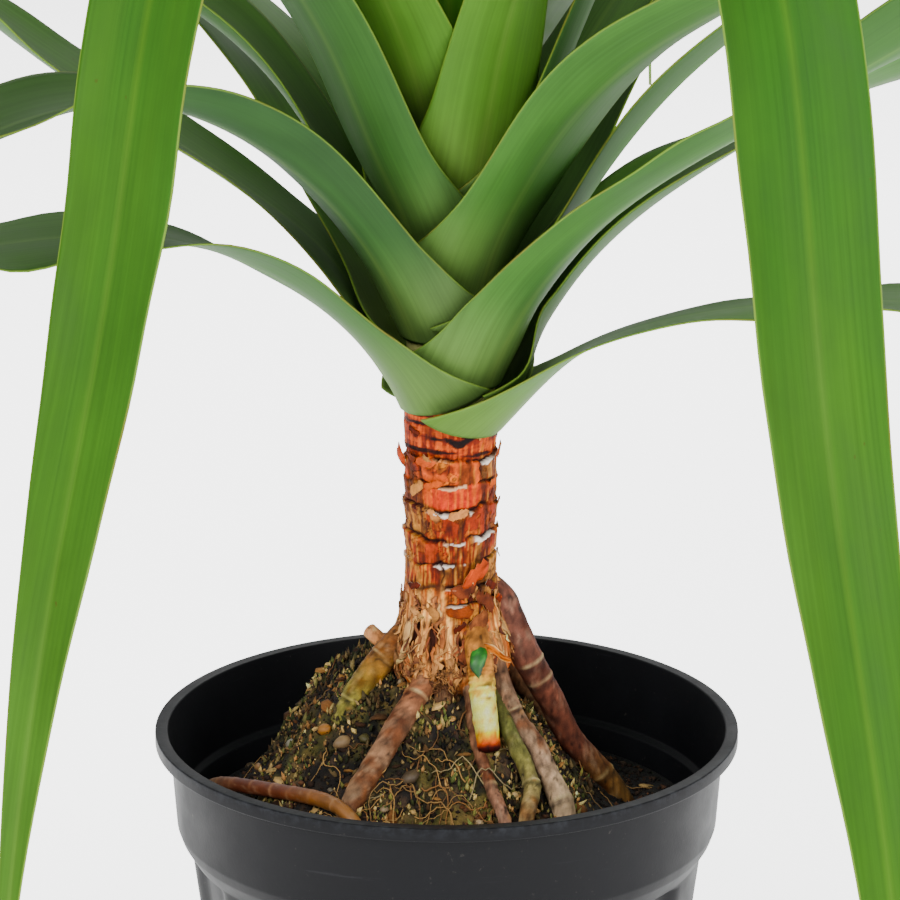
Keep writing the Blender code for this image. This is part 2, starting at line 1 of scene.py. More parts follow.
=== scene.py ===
"""The look of a potted dragon tree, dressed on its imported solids.

Every piece keeps the form of the solid it stands for, from the same design values: metres, +Z up,
the front at -Y, and azimuths in degrees with 0 at the front and +90 at the right. Colours are in
the screen's own values from 0 to 1.
"""

from collections import namedtuple
from math import cos, pi, radians, sin

import bpy
import numpy as np
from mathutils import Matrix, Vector
from mathutils.kdtree import KDTree


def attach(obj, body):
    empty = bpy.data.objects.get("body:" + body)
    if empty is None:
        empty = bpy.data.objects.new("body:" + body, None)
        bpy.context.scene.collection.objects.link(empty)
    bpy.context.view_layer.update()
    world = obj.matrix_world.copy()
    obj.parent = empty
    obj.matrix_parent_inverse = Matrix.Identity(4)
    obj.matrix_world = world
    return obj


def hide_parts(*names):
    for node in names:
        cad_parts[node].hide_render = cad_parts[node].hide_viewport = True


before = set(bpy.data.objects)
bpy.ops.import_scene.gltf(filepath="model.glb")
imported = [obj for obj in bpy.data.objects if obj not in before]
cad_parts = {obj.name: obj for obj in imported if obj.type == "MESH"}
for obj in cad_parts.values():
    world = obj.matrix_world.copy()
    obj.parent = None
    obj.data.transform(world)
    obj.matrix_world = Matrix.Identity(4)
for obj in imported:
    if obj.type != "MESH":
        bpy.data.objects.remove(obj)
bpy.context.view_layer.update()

# Camera, as the photograph was taken
CAMERA_PLACE = (0.0012, -1.2223, 0.6228)
CAMERA_PITCH = 15.5831
CAMERA_LENS = 143.58
SENSOR = 36.0

# Studio: each lamp has a name, a place, what it looks at, its width and its power
FLOOR_REACH = 40.0
FLOOR_GLOW = 2.4
ROOM_LIGHT = 1.1
LAMPS = (
    ("key", (-1.1, -2.3, 2.0), (0, 0, 0.27), 1.4, 165.0),
    ("fill", (1.6, -2.0, 1.1), (0, 0, 0.30), 1.8, 85.0),
    ("back", (0.3, 1.9, 2.0), (0, 0, 0.3), 1.4, 50.0),
)

# Pot, as in the solids
POT_STEPS = 270
CORNER_RADIUS = 0.0006
CORNER_STEPS = 4
POT_HEIGHT = 0.180
RIM_RADIUS = 0.105
RIM_WIDTH = 0.0046
LIP_HEIGHT = 0.0048
BAND_RADIUS = 0.0998
BAND_FOOT_RADIUS = 0.0977
BAND_FOOT = 0.145
BODY_TOP = 0.135
BODY_RADIUS = 0.0926
FOOT_RADIUS = 0.0765
BASE_RADIUS = 0.0735
BASE_THICKNESS = 0.002
WALL = 0.0018
LEDGE_RADIUS = 0.0945
LEDGE = 0.151
INNER_BAND_RADIUS = 0.0968
GROOVES = 9
GROOVE_START = -80.0
GROOVE_DEPTH = 0.003
GROOVE_TOP = 0.133
GROOVE_FOOT = 0.016
GROOVED_FROM = 0.06
DRAIN_HOLES = 8
DRAIN_CIRCLE = 0.058
DRAIN_RADIUS = 0.0045

# Soil, as in the solids
CLEARANCE = 0.0004
SOIL_RADIUS = 0.0918
SOIL_FOOT = 0.0024
SOIL_RINGS = 136
SOIL_STEPS = 400
SOIL_LEVEL = 0.144
MOUND_PEAK = 0.199
MOUND_CENTRE = (-0.008, 0.006)
MOUND_REACH = 0.079
FRONT_REACH = 0.013
MOUND_TOP = 0.16
SHOULDER = (-0.045, 0.024)
SHOULDER_HEIGHT = 0.012
SHOULDER_WIDTH = 0.017

# Trunk, as in the solids
STEM_X = 0.0014
TRUNK_RADIUS = 0.0165
TIP_RADIUS = 0.0095
TAPER_FROM = 0.30
TAPER_TO = 0.50
STEM_TOP = 0.446
STEM_GAP = 0.0008
RAW_TOP = 0.3005
BARK_FOOT = 0.2000
BARK_RINGS = 246
BARK_STEPS = 264
HUSK = (0.40, 0.26, 0.17)
PITH = (0.80, 0.80, 0.55)

# How much purer and deeper paints are than the colours that the light and the tone curve leave
PURITY = 1.22
DEPTH = 0.38


def ramp(low, high, value):
    """A smooth rise from 0 at the low value to 1 at the high one."""
    share = np.clip((np.asarray(value, float) - low) / (high - low), 0.0, 1.0)
    return share * share * (3 - 2 * share)


def linear(colour):
    """A screen colour as the paint that shows it in this light, a little deeper and purer."""
    colour = np.asarray(colour, float)
    light = np.where(colour <= 0.04045, colour / 12.92, ((colour + 0.055) / 1.055) ** 2.4)
    grey = light @ np.array((0.25, 0.65, 0.10))
    return np.clip((grey[..., None] + (light - grey[..., None]) * PURITY) * DEPTH, 0.0012, 0.95)


def mix(a, b, share):
    return a * (1 - share) + b * share


def blend(a, b, share):
    """A colour that is a share of the way from one to the other, for each point."""
    return mix(np.asarray(a), np.asarray(b), np.asarray(share)[..., None])


def lattice(ix, iy, iz, seed):
    """A repeatable random value from -1 to 1 for each cell."""
    h = (ix * 73856093) ^ (iy * 19349663) ^ (iz * 83492791) ^ (seed * 2654435761)
    h &= 0xFFFFFFFF
    h = ((h ^ (h >> 15)) * 2246822519) & 0xFFFFFFFF
    h = ((h ^ (h >> 13)) * 3266489917) & 0xFFFFFFFF
    return ((h ^ (h >> 16)) & 0xFFFFFF) / 8388607.5 - 1


def noise(points, scale, seed=0):
    """Smooth noise from -1 to 1. Scale is cells per metre, one number or one for each axis.

    Each use has a seed of its own, which only keeps it apart from the others.
    """
    p = np.asarray(points, float) * scale
    cell = np.floor(p).astype(np.int64)
    f = p - cell
    f = f * f * (3 - 2 * f)
    total = 0.0
    for dx in (0, 1):
        for dy in (0, 1):
            for dz in (0, 1):
                weight = np.where(dx, f[..., 0], 1 - f[..., 0])
                weight = weight * np.where(dy, f[..., 1], 1 - f[..., 1])
                weight = weight * np.where(dz, f[..., 2], 1 - f[..., 2])
                corner = (cell[..., k] + step for k, step in enumerate((dx, dy, dz)))
                total = total + weight * lattice(*corner, seed)
    return total


def layered(points, scale, layers=3, seed=0):
    """Noise with finer and fainter noise on it."""
    scale = np.asarray(scale, float)
    total = sum(noise(points, scale * 2.03**k, seed + 17 * k) * 0.55**k for k in range(layers))
    return total / sum(0.55**k for k in range(layers))


def grid_faces(rows, columns, closed=False):
    """Quads of a grid of points that is stored row by row. Closed joins the last column to the first."""
    across = columns if closed else columns - 1
    i, j = np.meshgrid(np.arange(rows - 1), np.arange(across), indexing="ij")
    nxt = (j + 1) % columns
    quads = (i * columns + j, i * columns + nxt, (i + 1) * columns + nxt, (i + 1) * columns + j)
    return np.stack(quads, -1).reshape(-1, 4)


def polar(radius, angle, height, middle=0.0):
    """Points at a radius, an angle from the front and a height, round the pot's axis or the stem's."""
    x, y, z = np.broadcast_arrays(radius * np.sin(angle) + middle, -radius * np.cos(angle), height)
    return np.stack([x, y, z], -1)


def closed_body(rings, start, end, flip=False):
    """The vertices and faces of a body made of rings, closed by one point at either end."""
    rows, steps = rings.shape[:2]
    index = np.arange(steps)
    after = (index + 1) % steps
    count, last = rows * steps, (rows - 1) * steps
    first = np.stack([np.full(steps, count), after, index], -1)
    final = np.stack([np.full(steps, count + 1), last + index, last + after], -1)
    faces = [grid_faces(rows, steps, closed=True), first, final]
    return np.concatenate([rings.reshape(-1, 3), [start, end]]), turned(faces) if flip else faces


def turned(faces):
    """The same faces, looking the other way."""
    return [block[:, ::-1] for block in faces]


def edge_loop(rows, columns):
    """The points round a grid's border, in order."""
    index = np.arange(rows * columns).reshape(rows, columns)
    return np.concatenate([index[0, :-1], index[:-1, -1], index[-1, :0:-1], index[:0:-1, 0]])


def sheet(upper, lower, flip=False):
    """The vertices and faces of a thin closed sheet between two grids of points."""
    rows, columns = upper.shape[:2]
    count = rows * columns
    face = grid_faces(rows, columns)
    border = edge_loop(rows, columns)
    after = np.roll(border, -1)
    rim = np.stack([border, border + count, after + count, after], -1)
    faces = [face, face[:, ::-1] + count, rim]
    return np.concatenate([upper.reshape(-1, 3), lower.reshape(-1, 3)]), turned(faces) if flip else faces


def combine(obj, others, operation):
    """Joins closed bodies to one, or cuts them from it, and removes them."""
    collection = bpy.data.collections.new("others")
    for other in others:
        collection.objects.link(other)
    boolean = obj.modifiers.new("boolean", "BOOLEAN")
    boolean.operation = operation
    boolean.operand_type = "COLLECTION"
    boolean.collection = collection
    boolean.solver = "MANIFOLD"
    graph = bpy.context.evaluated_depsgraph_get()
    mesh = bpy.data.meshes.new_from_object(obj.evaluated_get(graph))
    obj.modifiers.clear()
    obj.data = mesh
    for other in others:
        bpy.data.objects.remove(other, do_unlink=True)
    bpy.data.collections.remove(collection)


def add_mesh(name, vertices, faces, smooth=True):
    mesh = bpy.data.meshes.new(name)
    if isinstance(faces, np.ndarray):
        faces = [faces]
    polygons = [row for block in faces for row in np.asarray(block).tolist()]
    mesh.from_pydata(np.asarray(vertices, float).reshape(-1, 3).tolist(), [], polygons)
    mesh.update()
    if smooth:
        mesh.shade_smooth()
    obj = bpy.data.objects.new(name, mesh)
    bpy.context.scene.collection.objects.link(obj)
    return obj


def paint(obj, colours):
    """Gives each vertex a colour, from screen values."""
    colours = linear(np.clip(np.asarray(colours, float).reshape(-1, 3), 0, 1.4))
    layer = obj.data.attributes.new("tint", "FLOAT_COLOR", "POINT")
    data = np.ones((len(colours), 4))
    data[:, :3] = colours
    layer.data.foreach_set("color", data.ravel().astype(np.float32))


def number(obj, values, name):
    layer = obj.data.attributes.new(name, "FLOAT", "POINT")
    layer.data.foreach_set("value", np.asarray(values, np.float32).ravel())


def finish_piece(obj, material, slot, *nodes):
    obj.data.materials.clear()
    obj.data.materials.append(material)
    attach(obj, "root")
    if nodes:
        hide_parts(*nodes)


class Shader:
    """A material's node tree, built up by short calls."""

    def __init__(self, name):
        self.material = bpy.data.materials.new(name)
        self.material.use_nodes = True
        self.tree = self.material.node_tree
        self.bsdf = self.tree.nodes["Principled BSDF"]

    def node(self, kind, **settings):
        node = self.tree.nodes.new(kind)
        for key, value in settings.items():
            setattr(node, key, value)
        return node

    def link(self, source, target):
        self.tree.links.new(source, target)

    def attribute(self, name):
        return self.node("ShaderNodeAttribute", attribute_name=name)

    def scaled(self, scale, source="Object"):
        """Coordinates stretched by a scale for each axis, in metres or of a map."""
        place = self.node("ShaderNodeTexCoord")
        mapping = self.node("ShaderNodeMapping")
        mapping.inputs["Scale"].default_value = scale
        self.link(place.outputs[source], mapping.inputs["Vector"])
        return mapping.outputs["Vector"]

    def noise(self, vector, scale=1.0, detail=3.0, roughness=0.55):
        tex = self.node("ShaderNodeTexNoise")
        tex.inputs["Scale"].default_value = scale
        tex.inputs["Detail"].default_value = detail
        tex.inputs["Roughness"].default_value = roughness
        self.link(vector, tex.inputs["Vector"])
        return tex.outputs["Fac"]

    def range(self, value, low, high, to_low, to_high):
        node = self.node("ShaderNodeMapRange")
        ends = {"From Min": low, "From Max": high, "To Min": to_low, "To Max": to_high}
        for key, end in ends.items():
            node.inputs[key].default_value = end
        self.link(value, node.inputs["Value"])
        return node.outputs["Result"]

    def product(self, a, b):
        node = self.node("ShaderNodeMath", operation="MULTIPLY")
        self.link(a, node.inputs[0])
        self.link(b, node.inputs[1])
        return node.outputs[0]

    def toned(self, shade):
        """The colour that the mesh has, made lighter or darker."""
        node = self.node("ShaderNodeVectorMath", operation="SCALE")
        self.link(self.attribute("tint").outputs["Color"], node.inputs[0])
        self.link(shade, node.inputs["Scale"])
        return node.outputs[0]

    def blend(self, factor, a, b):
        """A mix of two colours, each a socket or a screen colour."""
        node = self.node("ShaderNodeMix", data_type="RGBA")
        self.link(factor, node.inputs[0])
        for socket, value in ((node.inputs[6], a), (node.inputs[7], b)):
            if isinstance(value, tuple):
                socket.default_value = (*linear(value), 1.0)
            else:
                self.link(value, socket)
        return node.outputs[2]

    def bump(self, height, strength, distance):
        node = self.node("ShaderNodeBump")
        node.inputs["Strength"].default_value = strength
        node.inputs["Distance"].default_value = distance
        self.link(height, node.inputs["Height"])
        self.link(node.outputs["Normal"], self.bsdf.inputs["Normal"])

    def set(self, **values):
        for key, value in values.items():
            self.bsdf.inputs[key.replace("_", " ")].default_value = value


def pot_material():
    s = Shader("moulded black plastic")
    fine = s.noise(s.scaled((1, 1, 1)), 900.0, 2.0)
    cloud = s.noise(s.scaled((1, 1, 1)), 30.0, 5.0, 0.65)
    scuff = s.noise(s.scaled((30, 30, 420)), 1.0, 6.0, 0.7)
    dust = s.noise(s.scaled((1, 1, 1)), 420.0, 4.0, 0.7)
    colour = s.blend(s.range(cloud, 0.3, 0.7, 0.0, 1.0), (0.060, 0.062, 0.072), (0.082, 0.084, 0.096))
    colour = s.blend(s.range(scuff, 0.62, 0.80, 0.0, 0.16), colour, (0.40, 0.40, 0.42))
    colour = s.blend(s.range(dust, 0.66, 0.80, 0.0, 0.35), colour, (0.55, 0.53, 0.50))
    # lighter patches along the rim's top edge: partly scuffs, partly a painted highlight of the edge
    worn = s.range(s.noise(s.scaled((1, 1, 1)), 260.0, 6.0, 0.75), 0.46, 0.66, 0.0, 0.55)
    rim_scuff_and_highlight = s.product(s.attribute("rim_scuff_and_highlight").outputs["Fac"], worn)
    colour = s.blend(rim_scuff_and_highlight, colour, (0.25, 0.26, 0.28))
    s.link(colour, s.bsdf.inputs["Base Color"])
    s.link(s.range(cloud, 0.3, 0.7, 0.42, 0.58), s.bsdf.inputs["Roughness"])
    s.set(Specular_IOR_Level=0.07)
    s.bump(fine, 0.10, 0.0003)
    return s.material


def tinted_material(name, roughness, grain, depth, strength, spread, specular):
    """A material that takes its colour from the mesh, with fine grain over it."""
    s = Shader(name)
    fine = s.noise(s.scaled((1, 1, 1)), grain, 4.0, 0.6)
    shade = s.range(fine, 0.3, 0.7, 1 - spread, 1 + spread)
    s.link(s.toned(shade), s.bsdf.inputs["Base Color"])
    s.link(s.range(fine, 0.3, 0.7, roughness - 0.08, roughness + 0.08), s.bsdf.inputs["Roughness"])
    s.set(Specular_IOR_Level=specular)
    s.bump(fine, strength, depth)
    return s.material


def leaf_material():
    s = Shader("waxy leaf skin")
    edge = s.attribute("edge").outputs["Fac"]
    streaks = s.noise(s.scaled((900, 7, 1), "UV"), 1.0, 3.0, 0.55)
    blotch = s.noise(s.scaled((60, 22, 1), "UV"), 1.0, 4.0, 0.6)
    fleck = s.noise(s.scaled((260, 170, 1), "UV"), 1.0, 2.0, 0.5)
    lengthwise = s.range(streaks, 0.3, 0.7, 0.87, 1.12)
    shade = s.product(lengthwise, s.range(blotch, 0.3, 0.7, 0.86, 1.13))
    colour = s.blend(s.range(fleck, 0.755, 0.80, 0.0, 0.55), s.toned(shade), (0.30, 0.26, 0.12))
    margin = s.blend(s.range(blotch, 0.48, 0.70, 0.0, 1.0), (0.56, 0.68, 0.34), (0.56, 0.48, 0.26))
    colour = s.blend(s.range(edge, 0.00010, 0.00045, 0.70, 0.0), colour, margin)
    s.link(colour, s.bsdf.inputs["Base Color"])
    s.link(s.range(blotch, 0.3, 0.7, 0.54, 0.70), s.bsdf.inputs["Roughness"])
    s.set(Specular_IOR_Level=0.09)
    s.bump(streaks, 0.10, 0.0002)
    return s.material


def build_stage():
    scene = bpy.context.scene
    camera = bpy.data.cameras.new("camera")
    camera.lens = CAMERA_LENS
    camera.sensor_width = SENSOR
    camera.clip_start = 0.05
    camera.clip_end = 60.0
    eye = bpy.data.objects.new("camera", camera)
    eye.location = CAMERA_PLACE
    eye.rotation_euler = (radians(90 - CAMERA_PITCH), 0, 0)
    scene.collection.objects.link(eye)
    scene.camera = eye

    corners = [(x * FLOOR_REACH, y * FLOOR_REACH, 0) for x, y in ((-1, -1), (1, -1), (1, 1), (-1, 1))]
    floor = add_mesh("floor", corners, np.array([[0, 1, 2, 3]]), smooth=False)
    s = Shader("pale floor")
    cloud = s.noise(s.scaled((1, 1, 1)), 3.0, 3.0)
    s.link(s.range(cloud, 0.3, 0.7, 0.93, 0.96), s.bsdf.inputs["Base Color"])
    s.set(Roughness=0.9, Specular_IOR_Level=0.1, Emission_Strength=FLOOR_GLOW)
    s.bsdf.inputs["Emission Color"].default_value = (1, 1, 1, 1)
    floor.data.materials.append(s.material)

    world = bpy.data.worlds.new("studio")
    scene.world = world
    world.use_nodes = True
    background = world.node_tree.nodes["Background"]
    background.inputs["Color"].default_value = (1.0, 1.0, 1.0, 1.0)
    background.inputs["Strength"].default_value = ROOM_LIGHT

    for lamp in LAMPS:
        add_light(*lamp)


def add_light(name, place, target, size, power):
    light = bpy.data.lights.new(name, "AREA")
    light.shape = "DISK"
    light.size = size
    light.energy = power
    obj = bpy.data.objects.new(name, light)
    obj.location = place
    direction = np.asarray(target, float) - np.asarray(place, float)
    obj.rotation_euler = Vector(direction).to_track_quat("-Z", "Y").to_euler()
    bpy.context.scene.collection.objects.link(obj)


def rounded(outline):
    """The outline with each corner but the ends cut into a short arc."""
    points = [np.asarray(p, float) for p in outline]
    result = [points[0]]
    for before, corner, after in zip(points, points[1:], points[2:]):
        a, b = before - corner, after - corner
        reach = min(CORNER_RADIUS, 0.45 * np.linalg.norm(a), 0.45 * np.linalg.norm(b))
        start = corner + a / np.linalg.norm(a) * reach
        end = corner + b / np.linalg.norm(b) * reach
        for t in np.linspace(0, 1, CORNER_STEPS + 1):
            result.append((1 - t) ** 2 * start + 2 * t * (1 - t) * corner + t * t * end)
    return [*result, points[-1]]


def wall_radius(height):
    """The radius of the pot's outer wall between its grooves."""
    share = (height - 0.008) / (BODY_TOP - 0.008)
    return FOOT_RADIUS + share * (BODY_RADIUS - FOOT_RADIUS)


def groove(azimuth, height):
    """How far in the pot's wall stands, from 0 to 1."""
    turn = np.mod(np.degrees(azimuth) - GROOVE_START, 360 / GROOVES) / 8.0
    across = ramp(0.1, 0.9, turn) * (1 - ramp(2.1, 2.9, turn))
    upright = ramp(0.0085, GROOVE_FOOT, height) * (1 - ramp(GROOVE_TOP, 0.1352, height))
    return across * upright


def revolve(outline, steps):
    """Rings of points for an outline turned round the pot's axis, with the grooves pressed in."""
    angle = np.linspace(0, 2 * pi, steps, endpoint=False)
    outline = np.repeat(np.array(outline)[:, None], steps, 1)
    radius, height = outline[..., 0], outline[..., 1]
    inset = groove(np.broadcast_to(angle, radius.shape), height) * (radius > GROOVED_FROM)
    return polar(radius - inset * GROOVE_DEPTH, angle, height)


def build_pot():
    inner = [
        (0.0, BASE_THICKNESS),
        (FOOT_RADIUS - WALL - 0.0008, BASE_THICKNESS),
        (FOOT_RADIUS - WALL, 0.009),
        (wall_radius(GROOVE_FOOT) - WALL, GROOVE_FOOT),
        *[(wall_radius(z) - WALL, z) for z in (0.05, 0.09, 0.12, GROOVE_TOP)],
        (BODY_RADIUS - WALL, BODY_TOP + 0.001),
        (LEDGE_RADIUS, LEDGE),
        (INNER_BAND_RADIUS, LEDGE + 0.0015),
        (RIM_RADIUS - RIM_WIDTH, POT_HEIGHT),
    ]
    outer = [
        (RIM_RADIUS, POT_HEIGHT),
        (RIM_RADIUS, POT_HEIGHT - LIP_HEIGHT),
        (BAND_RADIUS, POT_HEIGHT - LIP_HEIGHT - 0.0004),
        (BAND_FOOT_RADIUS, BAND_FOOT),
        (BAND_FOOT_RADIUS - 0.0014, BAND_FOOT - 0.004),
        (BODY_RADIUS, BODY_TOP),
        (wall_radius(GROOVE_TOP), GROOVE_TOP),
        *[(wall_radius(z), z) for z in (0.12, 0.09, 0.05)],
        (wall_radius(GROOVE_FOOT), GROOVE_FOOT),
        (FOOT_RADIUS, 0.008),
        (BASE_RADIUS + 0.001, 0.0012),
        (BASE_RADIUS, 0.0),
        (0.0, 0.0),
    ]
    rings = revolve(rounded([*inner, *outer])[1:-1], POT_STEPS)
    pot = add_mesh("nursery_pot", *closed_body(rings, (0, 0, BASE_THICKNESS), (0, 0, 0)))
    cut_drains(pot)
    pot.data.set_sharp_from_angle(angle=radians(50))
    place = np.empty(len(pot.data.vertices) * 3)
    pot.data.vertices.foreach_get("co", place)
    x, y, z = place.reshape(-1, 3).T
    # the rim's top outer edge, where the scuffs and the painted highlight go
    near = np.exp(-(((np.hypot(x, y) - RIM_RADIUS + 0.0003) / 0.0007) ** 2))
    number(pot, near * ramp(POT_HEIGHT - 0.004, POT_HEIGHT - 0.0006, z), "rim_scuff_and_highlight")
    finish_piece(pot, pot_material(), "pot", "pot")


def cut_drains(pot):
    holes = []
    for i in range(DRAIN_HOLES):
        angle = 2 * pi * i / DRAIN_HOLES
        bpy.ops.mesh.primitive_cylinder_add(
            vertices=32,
            radius=DRAIN_RADIUS,
            depth=4 * BASE_THICKNESS,
            location=(DRAIN_CIRCLE * cos(angle), DRAIN_CIRCLE * sin(angle), 0),
        )
        holes.append(bpy.context.object)
    combine(pot, holes, "DIFFERENCE")
    pot.data.shade_smooth()


def mound_height(x, y):
    """The height of the soil without its roughness, as in the solids."""
    offset = np.hypot(x - SHOULDER[0], y - SHOULDER[1]) / SHOULDER_WIDTH
    base = SOIL_LEVEL + SHOULDER_HEIGHT * np.exp(-0.5 * offset**2)
    return base + (MOUND_PEAK - SOIL_LEVEL) * heap_share(x, y)


def heap_share(x, y):
    """How far up the mound a place is, from 0 by the wall to 1 round the trunk."""
    distance = np.hypot(x - MOUND_CENTRE[0], y - MOUND_CENTRE[1])
    front = ramp(0.0, 0.8, (MOUND_CENTRE[1] - y) / np.maximum(distance, 1e-5))
    return 1 - ramp(MOUND_TOP, 1.0, distance / (MOUND_REACH + FRONT_REACH * front))


def out_of_dips(x, y, z):
    """How far a place stands out of the dips in the soil, from 0 to 1."""
    return ramp(-0.7, 0.8, (z - mound_height(x, y)) / 0.0016)


def ground(x, y):
    """The height of the loose soil's surface, with clumps of moss on the mound."""
    p = np.stack([x, y, np.zeros_like(x)], -1)
    moss = ramp(0.03, 0.30, heap_share(x, y))
    clumps = layered(p, 110, 3, 3) + 0.35 * np.abs(noise(p, 330, 5)) - 0.15
    rough = (0.0009 + 0.0028 * moss) * clumps + (0.0005 + 0.0006 * moss) * layered(p, 520, 2, 9)
    edge = 1 - ramp(0.084, 0.0905, np.hypot(x, y))
    return mound_height(x, y) + rough * edge - 0.0012 * (1 - edge)


def build_soil():
    angle = np.linspace(0, 2 * pi, SOIL_STEPS, endpoint=False)
    radius = (SOIL_RADIUS * (np.arange(1, SOIL_RINGS + 1) / SOIL_RINGS))[:, None]
    top = polar(radius, angle, 0.0)
    top[..., 2] = ground(top[..., 0], top[..., 1])
    sides = []
    for z in (0.135, GROOVE_TOP - 0.0005, 0.11, 0.08, 0.05, GROOVE_FOOT + 0.0005, 0.009):
        inset = groove(angle, np.full(SOIL_STEPS, z)) * GROOVE_DEPTH
        sides.append(polar(wall_radius(z) - WALL - CLEARANCE - inset, angle, z))
    sides.append(polar(FOOT_RADIUS - WALL - 0.0012, angle, SOIL_FOOT))
    peak = float(ground(np.zeros(1), np.zeros(1))[0])
    rings = np.concatenate([top, np.array(sides)])
    vertices, faces = closed_body(rings, (0, 0, peak), (0, 0, SOIL_FOOT), flip=True)
    soil = add_mesh("soil_body", vertices, faces)
    heap = heap_share(vertices[:, 0], vertices[:, 1])
    mottle = layered(vertices, 260, 3, 21)
    moss = ramp(-0.20, 0.35, layered(vertices, 75, 3, 33)) * ramp(0.05, 0.35, heap)
    patch = layered(vertices, 150, 3, 35)
    colour = blend((0.13, 0.11, 0.10), (0.34, 0.26, 0.20), ramp(-0.2, 0.5, mottle))
    # painted shade: the soil darkens towards the pot's wall, under the rim
    colour = colour * (0.45 + 0.55 * ramp(0.06, 0.34, heap))[:, None]
    # painted shade in the soil's dips, and lighter where it stands out
    colour = colour * (0.45 + 0.65 * out_of_dips(*vertices.T))[:, None]
    green = blend((0.32, 0.32, 0.16), (0.62, 0.52, 0.31), ramp(-0.3, 0.4, patch))
    colour = blend(colour, green, 0.75 * moss)
    colour = blend(colour, (0.08, 0.07, 0.06), 0.7 * ramp(0.08, 0.45, -patch))
    paint(soil, colour)
    material = tinted_material("potting mix", 0.92, 900.0, 0.0008, 0.8, 0.35, 0.2)
    finish_piece(soil, material, "soil", "soil")


# The heights of the rings' seams on the bark
SEAMS = (0.2000, 0.2140, 0.2215, 0.2290, 0.2352, 0.2445, 0.2534, 0.2640, 0.2733, 0.2820, 0.2925, 0.3010)
# Rings with a torn white edge at the front: the ring, its middle's angle and half its width
TORN_RINGS = ((8, -0.42, 0.42), (6, 0.0, 0.60), (5, 0.85, 0.40))
# The bark's radius and height, from its foot up
FOOT_LINE = ((0.0180, 0.1965), (0.0214, 0.2030), (0.0210, 0.2110), (0.0182, 0.2203), (0.0165, 0.2400))
# The stilt roots, from the trunk down: x, y, z and radius in tenths of a millimetre
ROOTS = {
    "left": ((-60, -20, 2220, 52), (-150, -30, 2145, 52), (-220, -60, 2075, 50), (-288, -90, 1990, 48),
        (-345, -120, 1905, 46), (-380, -135, 1820, 43), (-405, -150, 1720, 40)),
    "front_left": ((-20, -80, 2100, 46), (-85, -180, 2000, 46), (-165, -290, 1900, 44),
        (-255, -400, 1780, 42), (-335, -480, 1660, 40), (-375, -530, 1510, 35)),
    "middle_stub": ((-10, -80, 2070, 36), (-10, -180, 1970, 34), (-20, -240, 1900, 31),
        (-30, -290, 1800, 28)),
    "cut": ((90, -100, 2220, 46), (110, -180, 2150, 49), (120, -220, 2080, 47), (130, -270, 1980, 45),
        (150, -345, 1825, 41)),
    "thin": ((60, -100, 2070, 24), (80, -160, 2020, 25), (90, -240, 1910, 23), (110, -320, 1820, 22),
        (160, -460, 1710, 23), (200, -560, 1640, 22), (230, -630, 1480, 18)),
    "front_right": ((140, -60, 2130, 38), (205, -160, 1980, 36), (245, -210, 1890, 36),
        (313, -260, 1810, 38), (358, -310, 1720, 40), (410, -380, 1620, 42), (430, -420, 1490, 36)),
    "olive": ((130, -100, 2020, 28), (190, -220, 1920, 29), (240, -310, 1830, 31), (280, -370, 1760, 32),
        (300, -440, 1700, 31), (280, -510, 1640, 28), (260, -550, 1490, 22)),
    "right": ((100, 10, 2330, 54), (190, 10, 2270, 56), (245, 10, 2140, 55), (310, 20, 2000, 53),
        (380, 45, 1865, 50), (456, 80, 1700, 47), (576, 120, 1550, 45), (655, 150, 1420, 43)),
    "back_stub": ((-120, 40, 2030, 34), (-220, 80, 2070, 30), (-280, 120, 2110, 27)),
    "back_left": ((-60, 80, 2080, 46), (-160, 200, 1960, 46), (-260, 320, 1840, 43), (-350, 420, 1710, 39),
        (-400, 490, 1520, 32)),
    "back_right": ((80, 80, 2100, 50), (180, 180, 2000, 50), (270, 300, 1860, 46), (360, 410, 1700, 42),
        (420, 480, 1420, 34)),
}
SURFACE_ROOT = (
    (-850, 130, 1370, 18), (-868, 80, 1470, 21), (-860, 10, 1545, 24), (-795, -100, 1600, 26),
    (-677, -220, 1630, 27), (-553, -350, 1660, 27), (-432, -470, 1680, 27), (-350, -555, 1665, 25),
    (-290, -620, 1600, 22), (-255, -655, 1470, 18),
)
# How each root is coloured: stops of its share of the length, red, green and blue in hundredths
ROOT_TINTS = {
    "left": ((0, 60, 36, 22), (30, 52, 31, 18), (48, 56, 38, 18), (62, 56, 46, 20), (80, 50, 45, 19),
        (100, 30, 28, 13)),
    "front_left": ((0, 68, 42, 28), (25, 60, 36, 25), (40, 56, 38, 28), (75, 62, 44, 32),
        (100, 40, 30, 24)),
    "middle_stub": ((0, 50, 34, 24), (60, 44, 30, 21), (100, 30, 21, 15)),
    "cut": ((0, 62, 40, 24), (45, 80, 56, 34), (53, 118, 96, 52), (66, 138, 113, 66), (86, 140, 112, 66),
        (92, 120, 76, 22), (96.5, 90, 40, 8), (100, 28, 9, 6)),
    "thin": ((0, 50, 34, 24), (50, 52, 33, 24), (80, 64, 44, 34), (100, 50, 36, 30)),
    "front_right": ((0, 44, 28, 20), (35, 50, 36, 27), (60, 64, 48, 37), (85, 74, 58, 44),
        (100, 50, 38, 28)),
    "olive": ((0, 36, 30, 17), (35, 38, 36, 17), (60, 54, 45, 27), (80, 62, 48, 33), (100, 32, 28, 18)),
    "right": ((0, 40, 23, 18), (28, 44, 26, 20), (42, 42, 23, 17), (70, 34, 18, 13), (84, 44, 29, 17),
        (100, 42, 29, 17)),
    "back_stub": ((0, 62, 42, 30), (70, 80, 50, 32), (100, 90, 60, 42)),
    "back_left": ((0, 50, 32, 21), (100, 42, 32, 22)),
    "back_right": ((0, 50, 30, 20), (100, 44, 33, 24)),
    "surface": ((0, 50, 40, 33), (22, 58, 46, 38), (36, 36, 19, 13), (55, 44, 24, 16), (68, 56, 36, 21),
        (85, 60, 42, 26), (100, 46, 32, 20)),
}
